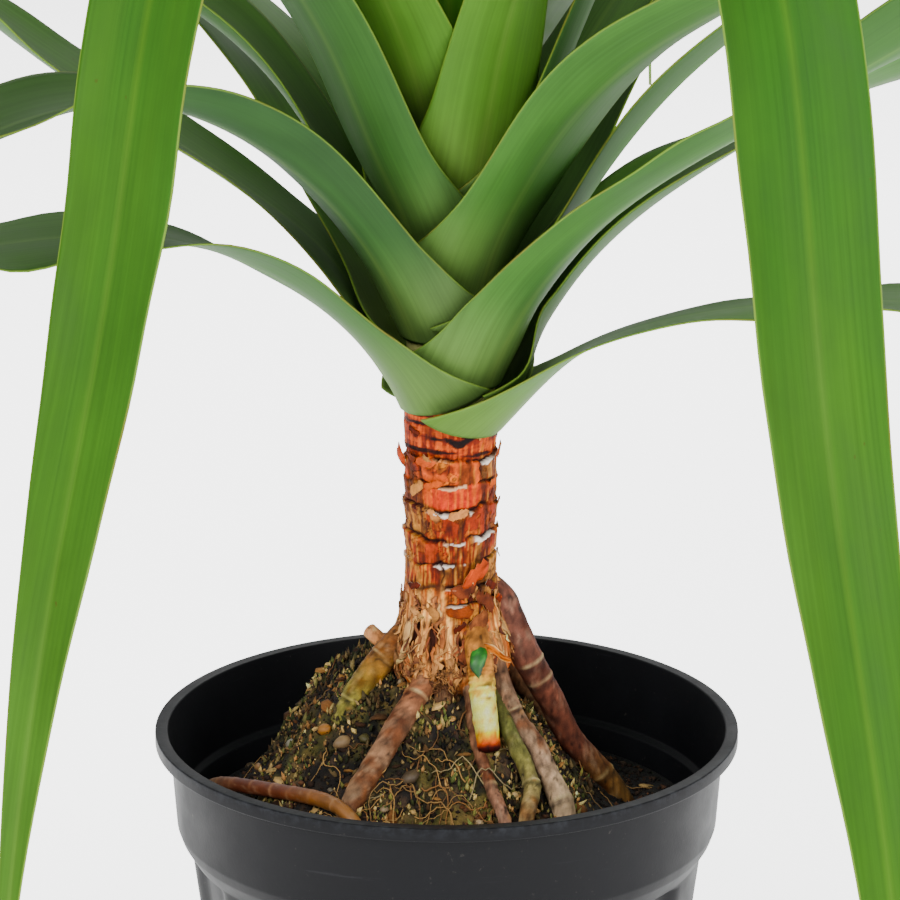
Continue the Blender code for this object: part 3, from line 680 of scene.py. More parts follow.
# The shares of its length where a pale ring goes round a root
ROOT_RINGS = {
    "left": (0.36, 0.66),
    "front_left": (0.24,),
    "cut": (0.51, 0.56),
    "thin": (0.6,),
    "front_right": (0.34, 0.8),
    "olive": (0.62, 0.86),
    "right": (0.34, 0.41, 0.84),
    "back_left": (0.4,),
    "back_right": (0.5,),
    "surface": (0.26, 0.33, 0.41, 0.5, 0.58, 0.66, 0.76),
}


def hashed(*keys):
    """A repeatable value from 0 to 1 for each set of whole numbers."""
    keys = [np.asarray(k, np.int64) for k in np.broadcast_arrays(*keys)]
    keys += [np.zeros_like(keys[0])] * (4 - len(keys))
    return (lattice(keys[0], keys[1], keys[2], keys[3]) + 1) / 2


def stops(table, share):
    """Colours read from a table of stops, which are a share and a colour in hundredths."""
    table = np.array(table) / 100
    return np.stack([np.interp(share, table[:, 0], table[:, k]) for k in (1, 2, 3)], -1)


def bark_radius(z):
    """The even radius of the bark, which flares at its foot."""
    radii, heights = np.array(FOOT_LINE).T
    return np.interp(z, heights, radii)


def bark_relief(angle, z):
    """How far the bark stands out from its even surface, and its colour. The angle is from the front."""
    around = polar(0.017, angle, z)
    warp = 0.0017 * noise(around, 75, 1) + 0.0009 * noise(around, 260, 2) + 0.0004 * noise(around, 800, 4)
    place = np.interp(z + warp, SEAMS, np.arange(len(SEAMS)))
    ring = np.floor(place)
    rise = place - ring
    count = 3 + np.floor(4 * hashed(ring, 1))
    turn = angle / (2 * pi) * count + hashed(ring, 2) + 0.13 * noise(around, (220, 220, 420), 3)
    plate = np.mod(np.floor(turn), count)
    side = turn - np.floor(turn)
    gap = np.minimum(side, 1 - side) * 2 * pi * 0.0165 / count
    look, lean, pale = (hashed(ring, plate, 10 + k) for k in range(3))

    fibre = layered(around, (1100, 1100, 90), 3, 7)
    coarse = layered(around, (260, 260, 90), 3, 8)
    rough = layered(around, 700, 3, 9)
    blot = layered(around, 190, 3, 12)
    # torn layers: a plate has worn through to a lower one in ragged steps
    worn = layered(around, (260, 260, 200), 3, 11) + 0.5 * (lean - 0.5)
    step = ramp(0.06, 0.10, worn) + ramp(0.32, 0.36, worn)
    lip = np.exp(-(((worn - 0.06) / 0.035) ** 2)) + np.exp(-(((worn - 0.34) / 0.035) ** 2))
    recess = (1 - ramp(0.02, 0.12 + 0.14 * pale, rise)) * ramp(-0.42, -0.05, noise(around, 120, 22))
    crack = (1 - ramp(0.00012, 0.00050, gap)) * (hashed(ring, plate, 20) > 0.25)
    out = -0.0011 * recess + (0.0001 + 0.0010 * lean) * ramp(0.15, 1.0, rise) - 0.0003
    out = out - 0.0006 * crack - 0.00032 * step + 0.00016 * fibre + 0.0003 * coarse + 0.00010 * rough

    orange, brown, red = (0.92, 0.46, 0.24), (0.56, 0.30, 0.20), (0.72, 0.31, 0.17)
    straw_tone, maroon, dark = (0.88, 0.64, 0.42), (0.34, 0.12, 0.10), (0.15, 0.06, 0.05)
    colour = blend(brown, red, ramp(0.25, 0.35, look))
    colour = blend(colour, orange, ramp(0.60, 0.75, look + 0.25 * coarse))
    colour = blend(colour, maroon, 0.8 * ramp(0.16, 0.06, look) + 0.55 * ramp(0.15, 0.5, blot))
    colour = blend(colour, straw_tone, 0.60 * ramp(0.5, 1.5, step))
    lower = 1 - ramp(0.236, 0.268, z)
    straw = ramp(0.12, 0.42, fibre + 0.30 * lower + 0.50 * (pale - 0.62) + 0.3 * noise(around, 130, 24))
    colour = blend(colour, straw_tone, 0.85 * straw)
    colour = blend(colour, (0.28, 0.15, 0.10), ramp(0.10, 0.45, -coarse) * 0.6)
    colour = blend(colour, dark, 0.45 * ramp(0.12, 0.5, -fibre))
    colour = blend(colour, (0.30, 0.13, 0.09), 0.60 * np.clip(lip, 0, 1))
    colour = colour * (1 + 0.34 * rough)[..., None]
    edge = ramp(0.88, 0.94, rise + 0.14 * noise(around, 300, 14) + 0.05 * noise(around, 1100, 13))
    torn = edge * ramp(0.10, 0.22, noise(around, (90, 90, 20), 15) + 0.8 * (pale - 0.66))
    for place, middle, reach in TORN_RINGS:
        near = ramp(reach, 0.7 * reach, np.abs(angle - middle))
        torn = np.maximum(torn, edge * near * (ring == place))
    pith = blend((1.10, 1.05, 0.98), (0.98, 0.74, 0.56), ramp(0.35, 0.9, look))
    colour = blend(colour, pith, 0.92 * torn)
    out = out + 0.00045 * torn
    # painted shade in the recess along the foot of each ring
    colour = blend(colour, dark, 0.88 * recess)
    # painted shade in the cracks between the plates
    colour = blend(colour, dark, 0.75 * crack)

    # one plate freshly bared at the front, raw red layers and a black band just under the lowest leaves
    bare = ramp(0.70, 0.60, np.abs(angle - 0.02)) * (ring == 7) * ramp(0.10, 0.20, rise)
    vivid = blend((0.88, 0.32, 0.12), (1.02, 0.52, 0.26), ramp(-0.2, 0.4, fibre))
    colour = blend(colour, vivid * (1 + 0.3 * rough)[..., None], 0.85 * bare * (1 - torn))
    raw = ramp(0.2810, 0.2835, z + 0.0022 * noise(around, 200, 16))
    layer = layered(around, (90, 90, 620), 3, 26)
    fresh = blend((0.58, 0.24, 0.13), (0.92, 0.46, 0.20), ramp(-0.25, 0.35, fibre + 0.8 * layer))
    streak = ramp(0.22, 0.50, fibre + 0.2 * rough) * ramp(0.2885, 0.2845, z)
    fresh = blend(fresh, (1.02, 0.78, 0.60), 0.7 * streak)
    fresh = blend(fresh, dark, 0.85 * ramp(0.16, 0.36, -layer) + 0.4 * ramp(0.2, 0.5, -coarse))
    colour = blend(colour, fresh * (1 + 0.25 * rough)[..., None], raw)
    above = (z - 0.2893 + 0.0012 * np.sin(angle * 9)) / 0.0018
    # a black band at the front, just under the lowest leaves' bases
    black_band = np.exp(-(((angle - 0.22) / 0.40) ** 2) - above**2)
    black_band = ramp(0.40, 0.75, black_band + 0.55 * rough)
    colour = blend(colour, (0.09, 0.05, 0.05), 0.9 * black_band)
    out = out * (1 - 0.8 * ramp(0.2840, 0.2905, z))

    # the foot is torn into upright fibres with hollows between them
    line = 0.2340 - 0.0125 * ramp(-0.25, 0.15, angle) * (1 - ramp(0.9, 1.3, angle))
    foot = 1 - ramp(-0.004, 0.004, z - line + 0.006 * noise(around, 110, 17))
    strand = layered(around, (330, 330, 60), 3, 18)
    hollow = ramp(0.04, 0.34, -strand + 0.35 * noise(around, 140, 19))
    husk = blend((0.62, 0.38, 0.24), (0.92, 0.70, 0.46), ramp(-0.3, 0.4, fibre))
    # painted shade in the hollows between the fibres
    husk = blend(husk, (0.18, 0.08, 0.06), 0.92 * hollow)
    husk = blend(husk, (0.76, 0.36, 0.22), 0.6 * ramp(0.2, 0.5, coarse))
    colour = blend(colour, husk * (1 + 0.25 * rough)[..., None], foot)
    out = mix(out, 0.0011 * strand + 0.0003 * fibre - 0.0013 * hollow, foot)
    shade = blend((0.98, 1.00, 0.94), (1.26, 1.32, 1.42), foot)
    shade = blend(shade, (1.02, 1.03, 1.06), torn)
    return out, np.clip(colour, 0, 1.3) ** 1.14 * shade


def build_bark_body():
    """The trunk's bark and the bare stem that goes on inside the crown, as one closed body."""
    angle = np.linspace(-pi, pi, BARK_STEPS, endpoint=False)
    h, a = np.meshgrid(np.linspace(BARK_FOOT, RAW_TOP, BARK_RINGS), angle, indexing="ij")
    out, colour = bark_relief(a, h)
    bark = polar(bark_radius(h) + out, a, h, STEM_X)
    heights = (RAW_TOP + 0.0004, 0.304, 0.310, 0.325, 0.350, 0.375, 0.400, 0.425, STEM_TOP - 0.006)
    heights = np.array(heights)
    widths = stem_radius(heights) - STEM_GAP
    widths[-1] -= 0.0008
    heights = np.append(heights, (STEM_TOP - 0.0016, STEM_TOP - 0.0004))
    widths = np.append(widths, (0.0052, 0.0012))
    core = polar(widths[:, None], angle, heights[:, None], STEM_X)
    foot_widths, foot_heights = np.array((0.004, 0.0110, 0.0180)), np.array((0.1932, 0.1934, 0.1960))
    foot = polar(foot_widths[:, None], angle, foot_heights[:, None], STEM_X)
    rings = np.concatenate([foot, bark, core])
    husk = np.full(foot.shape, HUSK)
    pith = np.full(core.shape, PITH)
    tint = np.concatenate([np.concatenate([husk, colour, pith]).reshape(-1, 3), [HUSK, PITH]])
    ends = (STEM_X, 0, foot_heights[0]), (STEM_X, 0, STEM_TOP - 0.0002)
    obj = add_mesh("bark_body", *closed_body(rings, *ends))
    paint(obj, tint)
    return obj


TENTHS_IN_A_METRE = 10000
# The rings that round off a tube's end: how wide and how far out each one is
CAP_RINGS = ((0.92, 0.35), (0.72, 0.75), (0.38, 0.95))


def smooth_path(points, between):
    """A curve through the points, with a number of steps between each two."""
    points = np.array(points) / TENTHS_IN_A_METRE
    path = []
    for i in range(len(points) - 1):
        before, after = points[max(i - 1, 0)], points[min(i + 2, len(points) - 1)]
        start, end = points[i], points[i + 1]
        t = (np.arange(between) / between)[:, None]
        bend = 2 * before - 5 * start + 4 * end - after
        twist = 3 * (start - end) + after - before
        path.append(start + 0.5 * t * (end - before + t * (bend + t * twist)))
    return np.concatenate([*path, points[-1:]])


def tube(path, sides, relief=None, dome=0.35, start_dome=0.0):
    """A closed tube along (x, y, z, radius) points. Relief gives how far out, and the colour."""
    centre, radius = path[:, :3], path[:, 3]
    tangent = np.gradient(centre, axis=0)
    tangent /= np.linalg.norm(tangent, axis=1)[:, None]
    side = np.cross(tangent[0], (0, 0, 1.0))
    if np.linalg.norm(side) < 1e-6:
        side = np.array((1.0, 0, 0))
    frames = []
    for t in tangent:
        side = side - np.dot(side, t) * t
        side /= np.linalg.norm(side)
        frames.append((side, np.cross(t, side)))
    length = np.concatenate([[0], np.cumsum(np.linalg.norm(np.diff(centre, axis=0), axis=1))])
    share = length / length[-1]
    angle = np.linspace(0, 2 * pi, sides, endpoint=False)
    s, a = np.meshgrid(share, angle, indexing="ij")
    u = np.array([f[0] for f in frames])[:, None]
    v = np.array([f[1] for f in frames])[:, None]
    direction = u * np.cos(a)[..., None] + v * np.sin(a)[..., None]
    surface = centre[:, None] + direction * radius[:, None, None]
    out, colour = relief(s, surface) if relief else (0.0, None)
    surface = centre[:, None] + direction * (radius[:, None] + out)[..., None]
    caps = []
    for k, tip, rim in ((0, start_dome, -1), (-1, dome, 1)):
        middle, out, reach = centre[k], surface[k] - centre[k], rim * tangent[k] * radius[k] * tip
        caps.append(np.array([middle + out * wide + reach * far for wide, far in CAP_RINGS]))
    rings = np.concatenate([caps[0][::-1], surface, caps[1]])
    start = centre[0] - tangent[0] * radius[0] * start_dome
    end = centre[-1] + tangent[-1] * radius[-1] * dome
    vertices, faces = closed_body(rings, start, end)
    if colour is None:
        return vertices, faces, None
    before, after = (colour[[k]].repeat(len(CAP_RINGS), 0) for k in (0, -1))
    tint = np.concatenate([before, colour, after]).reshape(-1, 3)
    return vertices, faces, np.concatenate([tint, colour[0].mean(0)[None], colour[-1].mean(0)[None]])


def root_relief(name, seed):
    def relief(share, points):
        rough = layered(points, 420, 3, seed)
        bend = layered(points, 130, 2, seed + 3)
        wrinkle = noise(points, (900, 900, 300), seed + 5)
        out = 0.00020 * rough + 0.00006 * wrinkle + 0.00045 * bend
        fine = layered(points, (1100, 1100, 260), 2, seed + 41)
        shade = 1 + 0.30 * rough + 0.16 * wrinkle + 0.34 * fine
        colour = stops(ROOT_TINTS[name], share) * shade[..., None]
        patch = ramp(0.15, 0.55, layered(points, (210, 210, 120), 2, seed + 9))
        colour = blend(colour, colour * (0.66, 0.50, 0.42), 0.8 * patch)
        light = ramp(0.16, 0.50, layered(points, (420, 420, 150), 3, seed + 21))
        if name != "cut":
            colour = blend(colour, colour * 0.6 + (0.34, 0.28, 0.22), 0.62 * light)
        wart = ramp(0.66, 0.80, noise(points, 230, seed + 31))
        out = out + 0.0004 * wart
        colour = blend(colour, (0.70, 0.46, 0.28), 0.5 * wart)
        dot = ramp(0.62, 0.78, noise(points, 640, seed + 33))
        colour = colour * (1 - 0.5 * dot)[..., None]
        for ring in ROOT_RINGS.get(name, ()):
            place = share - ring - 0.010 * noise(points, 150, seed + 2)
            near = np.exp(-((place / 0.008) ** 2))
            out = out + 0.00032 * near
            line = near**4 * (0.62 + 0.5 * rough)
            colour = blend(colour, (0.84, 0.70, 0.50), line)
            # painted shadow just below each raised ring
            below = np.exp(-(((place - 0.020) / 0.010) ** 2))
            colour = colour * (1 - 0.32 * below)[..., None]
        if name == "cut":
            fold = np.sin(share * 230 + 3 * bend) * ramp(0.36, 0.42, share) * (1 - ramp(0.60, 0.68, share))
            out = out + 0.00012 * fold - 0.00035 * bend
            # painted light and shade on the folds: lighter on their crests, darker between them
            colour = colour * (1 + 0.14 * fold)[..., None]
        else:
            colour = colour * (1.05, 1.16, 1.26)
            yellow = (colour[..., 1] - colour[..., 2]) / np.maximum(colour[..., 0], 0.01)
            grey = colour.mean(axis=-1, keepdims=True)
            colour = blend(colour, grey * (1.06, 0.98, 0.78), 0.42 * ramp(0.25, 0.60, yellow))
        return out, np.clip(colour, 0, 1)

    return relief


def spread_tint(mesh):
    """Gives points that a union made the colour of the nearest point that has one."""
    count = len(mesh.vertices)
    tint, place = np.empty(count * 4, np.float32), np.empty(count * 3, np.float32)
    mesh.attributes["tint"].data.foreach_get("color", tint)
    mesh.vertices.foreach_get("co", place)
    tint, place = tint.reshape(-1, 4), place.reshape(-1, 3)
    blank = tint[:, :3].min(1) > 0.995
    tree = KDTree(int((~blank).sum()))
    for index in np.flatnonzero(~blank):
        tree.insert(place[index], int(index))
    tree.balance()
    for index in np.flatnonzero(blank):
        tint[index] = tint[tree.find(place[index])[1]]
    mesh.attributes["tint"].data.foreach_set("color", tint.ravel())


def build_trunk():
    body = build_bark_body()
    pieces = []
    for seed, (name, points) in enumerate(ROOTS.items()):
        vertices, faces, tint = tube(smooth_path(points, 14), 30, root_relief(name, 50 + 11 * seed))
        root = add_mesh(f"root_{name}", vertices, faces)
        paint(root, tint)
        pieces.append(root)
    combine(body, pieces, "UNION")
    spread_tint(body.data)
    body.name = "bark_and_stilt_roots"
    material = tinted_material("ringed bark and root skin", 0.72, 1500.0, 0.0004, 0.6, 0.14, 0.08)
    finish_piece(body, material, "trunk", "trunk")


def peel(angle, top, width, height, lifts, seed, tone, under, wander=0.0, thick=0.00022):
    """One loose strip of bark on the trunk: lifts are how far it stands off at its top and its foot."""
    rng = np.random.default_rng(seed)
    narrow = width < 0.0021
    rows = max(5, int(height / 0.0013))
    columns = 3 if narrow else 9
    v, u = np.meshgrid(np.linspace(0, 1, rows), np.linspace(-1, 1, columns), indexing="ij")
    key = np.stack([u * 0.6, v * 1.4, np.full_like(u, seed * 0.37)], -1)
    ragged = noise(key, 2.2, 7) * (0.15 if narrow else 0.28)
    taper = (1 - 0.55 * rng.uniform(0, 1) * v**2) * (1 + ragged)
    taper = taper * np.clip(1.15 - 0.5 * np.abs(2 * v - 1) ** 3, 0, 1)
    slant = 0.0 if narrow else rng.uniform(-0.45, 0.45) * height
    jag = noise(np.stack([u * 4.0, np.round(v), np.full_like(u, seed * 0.7)], -1), 1.0, 9)
    z = top - v * height + slant * u + jag * np.abs(2 * v - 1) ** 4 * (0.0002 if narrow else 0.18 * height)
    bend = wander * (np.sin(v * 5 + rng.uniform(0, 6)) + 0.5 * np.sin(v * 11 + rng.uniform(0, 6)))
    turn = angle + (u * taper * width / 2 + bend) / 0.0175
    lift = mix(lifts[0], lifts[1], v**1.7) + 0.0004 * noise(key, 2.3, 3) + 0.0005
    base = bark_radius(np.maximum(z, 0.1990)) + lift
    outer = polar(base, turn, z, STEM_X)
    inner = outer - polar(1.0, turn, 0.0) * thick
    grain = 1 + 0.30 * layered(outer, (900, 900, 120), 2, seed) + 0.12 * layered(outer, 500, 2, seed + 1)
    tint = np.asarray(tone) * grain[..., None]
    tint = blend(tint, (0.20, 0.09, 0.07), 0.55 * ramp(0.1, 0.45, layered(outer, (300, 300, 500), 2, 19)))
    both = np.concatenate([tint.reshape(-1, 3), np.tile(np.asarray(under), (rows * columns, 1))])
    return *sheet(outer, inner, flip=True), both


def papery_flap():
    """A thin flap of bark that stands out beside the bud."""
    v, u = np.meshgrid(np.linspace(0, 1, 12), np.linspace(-1, 1, 9), indexing="ij")
    key = np.stack([u, v * 2, np.zeros_like(u)], -1)
    half = 0.0021 * (1 - 0.35 * v) * (1 + 0.4 * noise(key, 2.3, 41))
    x = 0.0128 + 0.0098 * v
    y = -0.0212 - 0.0050 * np.sin(1.6 * v) - 0.0006 * u
    z = 0.2158 - 0.0034 * v**1.5 + half * u + 0.0005 * np.sin(6 * v)
    outer = np.stack([x, y, z], -1)
    tint = blend((0.98, 0.56, 0.26), (1.05, 0.84, 0.62), ramp(0.55, 0.95, np.abs(u)))
    tint = blend(tint, (0.50, 0.24, 0.14), 0.7 * ramp(0.1, 0.4, noise(key, 3.0, 44)))
    return *sheet(outer, outer + (0, 0.0003, 0)), np.concatenate([tint.reshape(-1, 3)] * 2)


# Flakes with a place of their own: angle, top, width, height, how far each end stands off, and colour
FLAKES = (
    (-1.30, 0.2845, 0.0050, 0.0060, (0.0024, -0.0002), (0.80, 0.34, 0.18)),
    (0.50, 0.2440, 0.0095, 0.0070, (0.0024, 0.0), (0.84, 0.36, 0.08)),
    (0.30, 0.2375, 0.0110, 0.0050, (0.0002, 0.0010), (0.50, 0.26, 0.18)),
    (0.75, 0.2330, 0.0090, 0.0060, (0.0004, 0.0014), (0.48, 0.25, 0.17)),
    (0.20, 0.2290, 0.0100, 0.0036, (0.0003, 0.0012), (0.62, 0.30, 0.18)),
    (0.55, 0.2255, 0.0080, 0.0050, (0.0004, 0.0018), (0.60, 0.36, 0.24)),
    (-0.35, 0.2640, 0.0048, 0.0030, (0.0002, 0.0010), (0.86, 0.58, 0.38)),
    (0.15, 0.2645, 0.0075, 0.0030, (0.0002, 0.0012), (0.90, 0.62, 0.42)),
    (-0.55, 0.2828, 0.0080, 0.0026, (0.0002, 0.0013), (0.88, 0.42, 0.28)),
)
FLAKE_TONES = (
    (0.52, 0.24, 0.16), (0.72, 0.30, 0.19), (0.84, 0.40, 0.24), (0.40, 0.17, 0.12), (0.80, 0.56, 0.36),
)
FLAKE_BACKS = ((0.92, 0.72, 0.52), (1.05, 0.96, 0.86), (0.86, 0.50, 0.30))
STRAW_TONES = (
    (0.96, 0.70, 0.47), (0.84, 0.60, 0.41), (1.04, 0.82, 0.58), (0.68, 0.44, 0.30), (0.56, 0.31, 0.21),
    (0.82, 0.50, 0.32),
)
HAIR_TONES = ((0.52, 0.36, 0.25), (0.38, 0.24, 0.17), (0.70, 0.50, 0.34))


def seam_flake(rng, index):
    """A small flake that peels up or down from one of the bark's seams."""
    seam = SEAMS[rng.integers(2, 11)]
    angle = -pi / 2 + rng.uniform(0.35, 2 * pi - 0.35)
    width = rng.uniform(0.0024, 0.0075)
    upward = rng.uniform() < 0.4
    height = rng.uniform(0.0020, 0.0042)
    top = seam + (height * 0.6 if upward else 0.0004)
    lifts = (rng.uniform(0.0004, 0.0013), 0.0) if upward else (0.0, rng.uniform(0.0002, 0.0010))
    tone = FLAKE_TONES[rng.integers(0, 5)]
    back = FLAKE_BACKS[rng.choice(3, p=(0.5, 0.2, 0.3))]
    return peel(angle, top, width, height, lifts, 600 + index, tone, back)


def skirt_fibre(rng, index):
    """A torn strip of the skirt that hangs from the trunk's foot over the tops of the roots."""
    angle = rng.uniform(-pi, pi)
    right = -0.1 < angle < 1.1
    top = rng.uniform(0.2050, 0.2230 if right else 0.2330)
    height = min(0.0026 * 5.0 ** rng.uniform(0, 1), top - 0.1970)
    width = 0.0005 * 7.0 ** (rng.uniform(0, 1) ** 1.2)
    low = (-0.0002, 0.0003) if top > 0.222 else (0.0, 0.0020)
    lifts = (rng.uniform(-0.0004, 0.0001), rng.uniform(*low))
    tone = np.array(STRAW_TONES[rng.choice(6, p=(0.26, 0.20, 0.12, 0.17, 0.13, 0.12))])
    tone = tone * rng.uniform(0.8, 1.08)
    wander = rng.uniform(0, 0.0018)
    return peel(angle, top, width, height, lifts, 1000 + index, tone, tone * 0.8, wander, 0.0003)


def hair(rng):
    """One fibre of the ball of fine dark ones that hangs under the front of the foot."""
    start = np.array((-0.0022, -0.0195, 0.2030)) + rng.normal(0, 1, 3) * (0.0022, 0.0016, 0.0026)
    t = np.linspace(0, 1, 7)[:, None]
    way = rng.normal(0, 1, 3) * (0.0022, 0.0010, 0.0020) + (0, -0.0004, -0.0008)
    curl = rng.normal(0, 0.0009, 3)
    centre = start + way * t + curl * np.sin(t * 5 + rng.uniform(0, 6))
    path = np.concatenate([centre, np.full((7, 1), rng.uniform(0.00010, 0.00022))], 1)
    vertices, faces, _ = tube(path, 4, None, 0.4, 0.4)
    return vertices, faces, np.tile(HAIR_TONES[rng.integers(0, 3)], (len(vertices), 1))


def build_loose_bark():
    """Peeled flakes on the bark, and the torn fibres round its foot."""
    rng = np.random.default_rng(501)
    meshes = [seam_flake(rng, index) for index in range(46)]
    for angle, top, width, height, lifts, tone in FLAKES:
        meshes.append(peel(angle, top, width, height, lifts, int(700 + top * 9e4), tone, (1.05, 0.84, 0.64)))
    meshes.append(papery_flap())
    flakes = join_meshes("bark_flakes", meshes)
    finish_piece(flakes, tinted_material("peeling bark", 0.75, 1500.0, 0.0003, 0.5, 0.2, 0.06), "trunk")
    meshes = [skirt_fibre(rng, index) for index in range(360)] + [hair(rng) for _ in range(170)]
    fibres = join_meshes("bark_fibres", meshes)
    finish_piece(fibres, tinted_material("torn bark fibres", 0.8, 1800.0, 0.0002, 0.4, 0.12, 0.15), "trunk")


def build_bud():
    """The green bud on the cut root."""
    v, a = np.meshgrid(np.linspace(0, 1, 26), np.linspace(0, 2 * pi, 22, endpoint=False), indexing="ij")
    girth = np.maximum(np.sin(pi * v**0.95) ** 1.1, 0.02)
    height = 0.2182 - 0.0122 * v
    sway = 0.0004 * np.sin(v * 7)
    x = 0.0112 + sway + 0.0032 * girth * np.cos(a) * (1 + 0.10 * np.sin(9 * v + 2 * a))
    y = np.interp(height, (0.2060, 0.2120, 0.2180), (-0.0281, -0.0248, -0.0211))
    y = y + 0.0019 * girth * np.sin(a)
    body = np.stack([x, y, height], -1)
    tips = body[0].mean(0) + (0, 0, 0.0003), body[-1].mean(0) - (0, 0, 0.0003)
    streak = layered(body, (900, 900, 240), 2, 77)
    tint = blend((0.12, 0.36, 0.10), (0.24, 0.54, 0.16), ramp(-0.2, 0.4, streak))
    # painted shade: the bud darkens on its flanks, where its round form turns away
    flank = np.abs(np.cos(a)) * ramp(0.3, 0.8, v)
    tint = blend(tint, (0.08, 0.18, 0.07), 0.7 * ramp(0.25, 0.75, flank))
    tint = blend(tint, (0.80, 0.72, 0.40), 0.7 * ramp(0.90, 1.0, v))
    tint = np.concatenate([tint.reshape(-1, 3), [(0.30, 0.40, 0.20)] * 2])
    bud = add_mesh("root_bud", *closed_body(body, *tips, flip=True))
    paint(bud, tint)
    finish_piece(bud, tinted_material("green bud", 0.45, 900.0, 0.0002, 0.3, 0.10, 0.3), "trunk")


def build_surface_root():
    def relief(share, points):
        rough = layered(points, 380, 3, 301)
        streak = ramp(0.1, 0.5, layered(points, (500, 160, 700), 3, 305))
        out = 0.00015 * rough
        colour = stops(ROOT_TINTS["surface"], share) * (1 + 0.20 * rough)[..., None]
        colour = blend(colour, (0.66, 0.54, 0.44), 0.45 * streak)
        for ring in ROOT_RINGS["surface"]:
            near = np.exp(-(((share - ring - 0.006 * noise(points, 200, 303)) / 0.004) ** 2))
            out = out + 0.00016 * near
            colour = blend(colour, (0.76, 0.60, 0.46), 0.5 * near)
        return out, np.clip(colour, 0, 1)

    vertices, faces, tint = tube(smooth_path(SURFACE_ROOT, 16), 36, relief)
    root = add_mesh("surface_root_skin", vertices, faces)
    paint(root, tint)
    material = tinted_material("smooth root skin", 0.50, 900.0, 0.0003, 0.35, 0.12, 0.25)
    finish_piece(root, material, "surface_root", "surface_root")


def lump_shape(fine):
    """The points and faces of an octahedron, which has each face cut in four if it's a fine one."""
    corners = [(1, 0, 0), (-1, 0, 0), (0, 1, 0), (0, -1, 0), (0, 0, 1), (0, 0, -1)]
    faces = [(0, 2, 4), (2, 1, 4), (1, 3, 4), (3, 0, 4), (2, 0, 5), (1, 2, 5), (3, 1, 5), (0, 3, 5)]
    points = [np.array(c, float) for c in corners]
    if not fine:
        return np.array(points), np.array(faces)
    middles, result = {}, []

    def middle(a, b):
        key = (min(a, b), max(a, b))
        if key not in middles:
            middles[key] = len(points)
            point = points[a] + points[b]
            points.append(point / np.linalg.norm(point))
        return middles[key]

    for a, b, c in faces:
        ab, bc, ca = middle(a, b), middle(b, c), middle(c, a)
        result += [(a, ab, ca), (ab, b, bc), (ca, bc, c), (ab, bc, ca)]
    return np.array(points), np.array(result)


def spun(a, b, angle):
    """Two coordinates of the points of each lump, turned by the lump's angle."""
    c, s = np.cos(angle)[:, None], np.sin(angle)[:, None]
    return a * c - b * s, a * s + b * c


def scatter(name, count, sizes, flatness, palette, seed, keep, sink=0.3, rough=0.22, fine=True, extra=()):
    """Many small uneven lumps on the soil, as one mesh. Extra ones have (x, y, size, colour)."""
    rng = np.random.default_rng(seed)
    shape, faces = lump_shape(fine)
    radius = 0.0895 * np.sqrt(rng.uniform(0, 1, count))
    angle = rng.uniform(0, 2 * pi, count)
    x, y = radius * np.sin(angle), -radius * np.cos(angle)
    chosen = keep(x, y, rng)
    x, y = x[chosen], y[chosen]
    count = len(x)
    size = sizes[0] * (sizes[1] / sizes[0]) ** (rng.uniform(0, 1, count) ** 1.6)
    palette = np.array(palette)
    tint = palette[rng.integers(0, len(palette), count)] * rng.uniform(0.75, 1.2, (count, 1))
    if extra:
        x, y = np.append(x, [e[0] for e in extra]), np.append(y, [e[1] for e in extra])
        size = np.append(size, [e[2] for e in extra])
        tint = np.concatenate([tint, [e[3] for e in extra]])
        count = len(x)
    # painted shade: lumps in the soil's dips are darker, and ones that stand out lighter
    tint = tint * (0.50 + 0.80 * out_of_dips(x, y, ground(x, y)))[:, None]
    stretch = np.stack([rng.uniform(*ends, count) for ends in ((0.7, 1.4), (0.6, 1.1), flatness)], -1)
    points = shape[None] * (1 + rough * rng.uniform(-1, 1, (count, len(shape), 1)))
    points = points * stretch[:, None] * size[:, None, None]
    turn, lean = rng.uniform(0, 2 * pi, count), rng.normal(0, 0.45, count)
    px, pz = spun(points[..., 0], points[..., 2], lean)
    px, py = spun(px, points[..., 1], turn)
    z = ground(x, y) + size * stretch[:, 2] * (1 - 2 * sink)
    placed = np.stack([px + x[:, None], py + y[:, None], pz + z[:, None]], -1)
    all_faces = faces[None] + (np.arange(count) * len(shape))[:, None, None]
    obj = add_mesh(name, placed.reshape(-1, 3), all_faces.reshape(-1, 3))
    tint = tint[:, None] * (1 + 0.12 * rng.uniform(-1, 1, (count, len(shape), 1)))
    paint(obj, np.clip(tint, 0, 1))
    return obj


CRUMB_TONES = (
    (0.16, 0.12, 0.10), (0.22, 0.16, 0.12), (0.32, 0.22, 0.16), (0.11, 0.09, 0.08), (0.19, 0.15, 0.12),
)
CHIP_TONES = (
    (0.52, 0.38, 0.24), (0.40, 0.27, 0.17), (0.64, 0.50, 0.34), (0.30, 0.19, 0.12), (0.72, 0.60, 0.42),
)
STONE_TONES = ((0.66, 0.55, 0.42), (0.56, 0.48, 0.38), (0.74, 0.66, 0.54), (0.45, 0.36, 0.28))
MOSS_TONES = (
    (0.52, 0.49, 0.32), (0.66, 0.58, 0.40), (0.38, 0.41, 0.25), (0.72, 0.60, 0.42), (0.66, 0.51, 0.35),
    (0.30, 0.32, 0.19), (0.82, 0.70, 0.50), (0.62, 0.46, 0.31), (0.47, 0.45, 0.27),
)
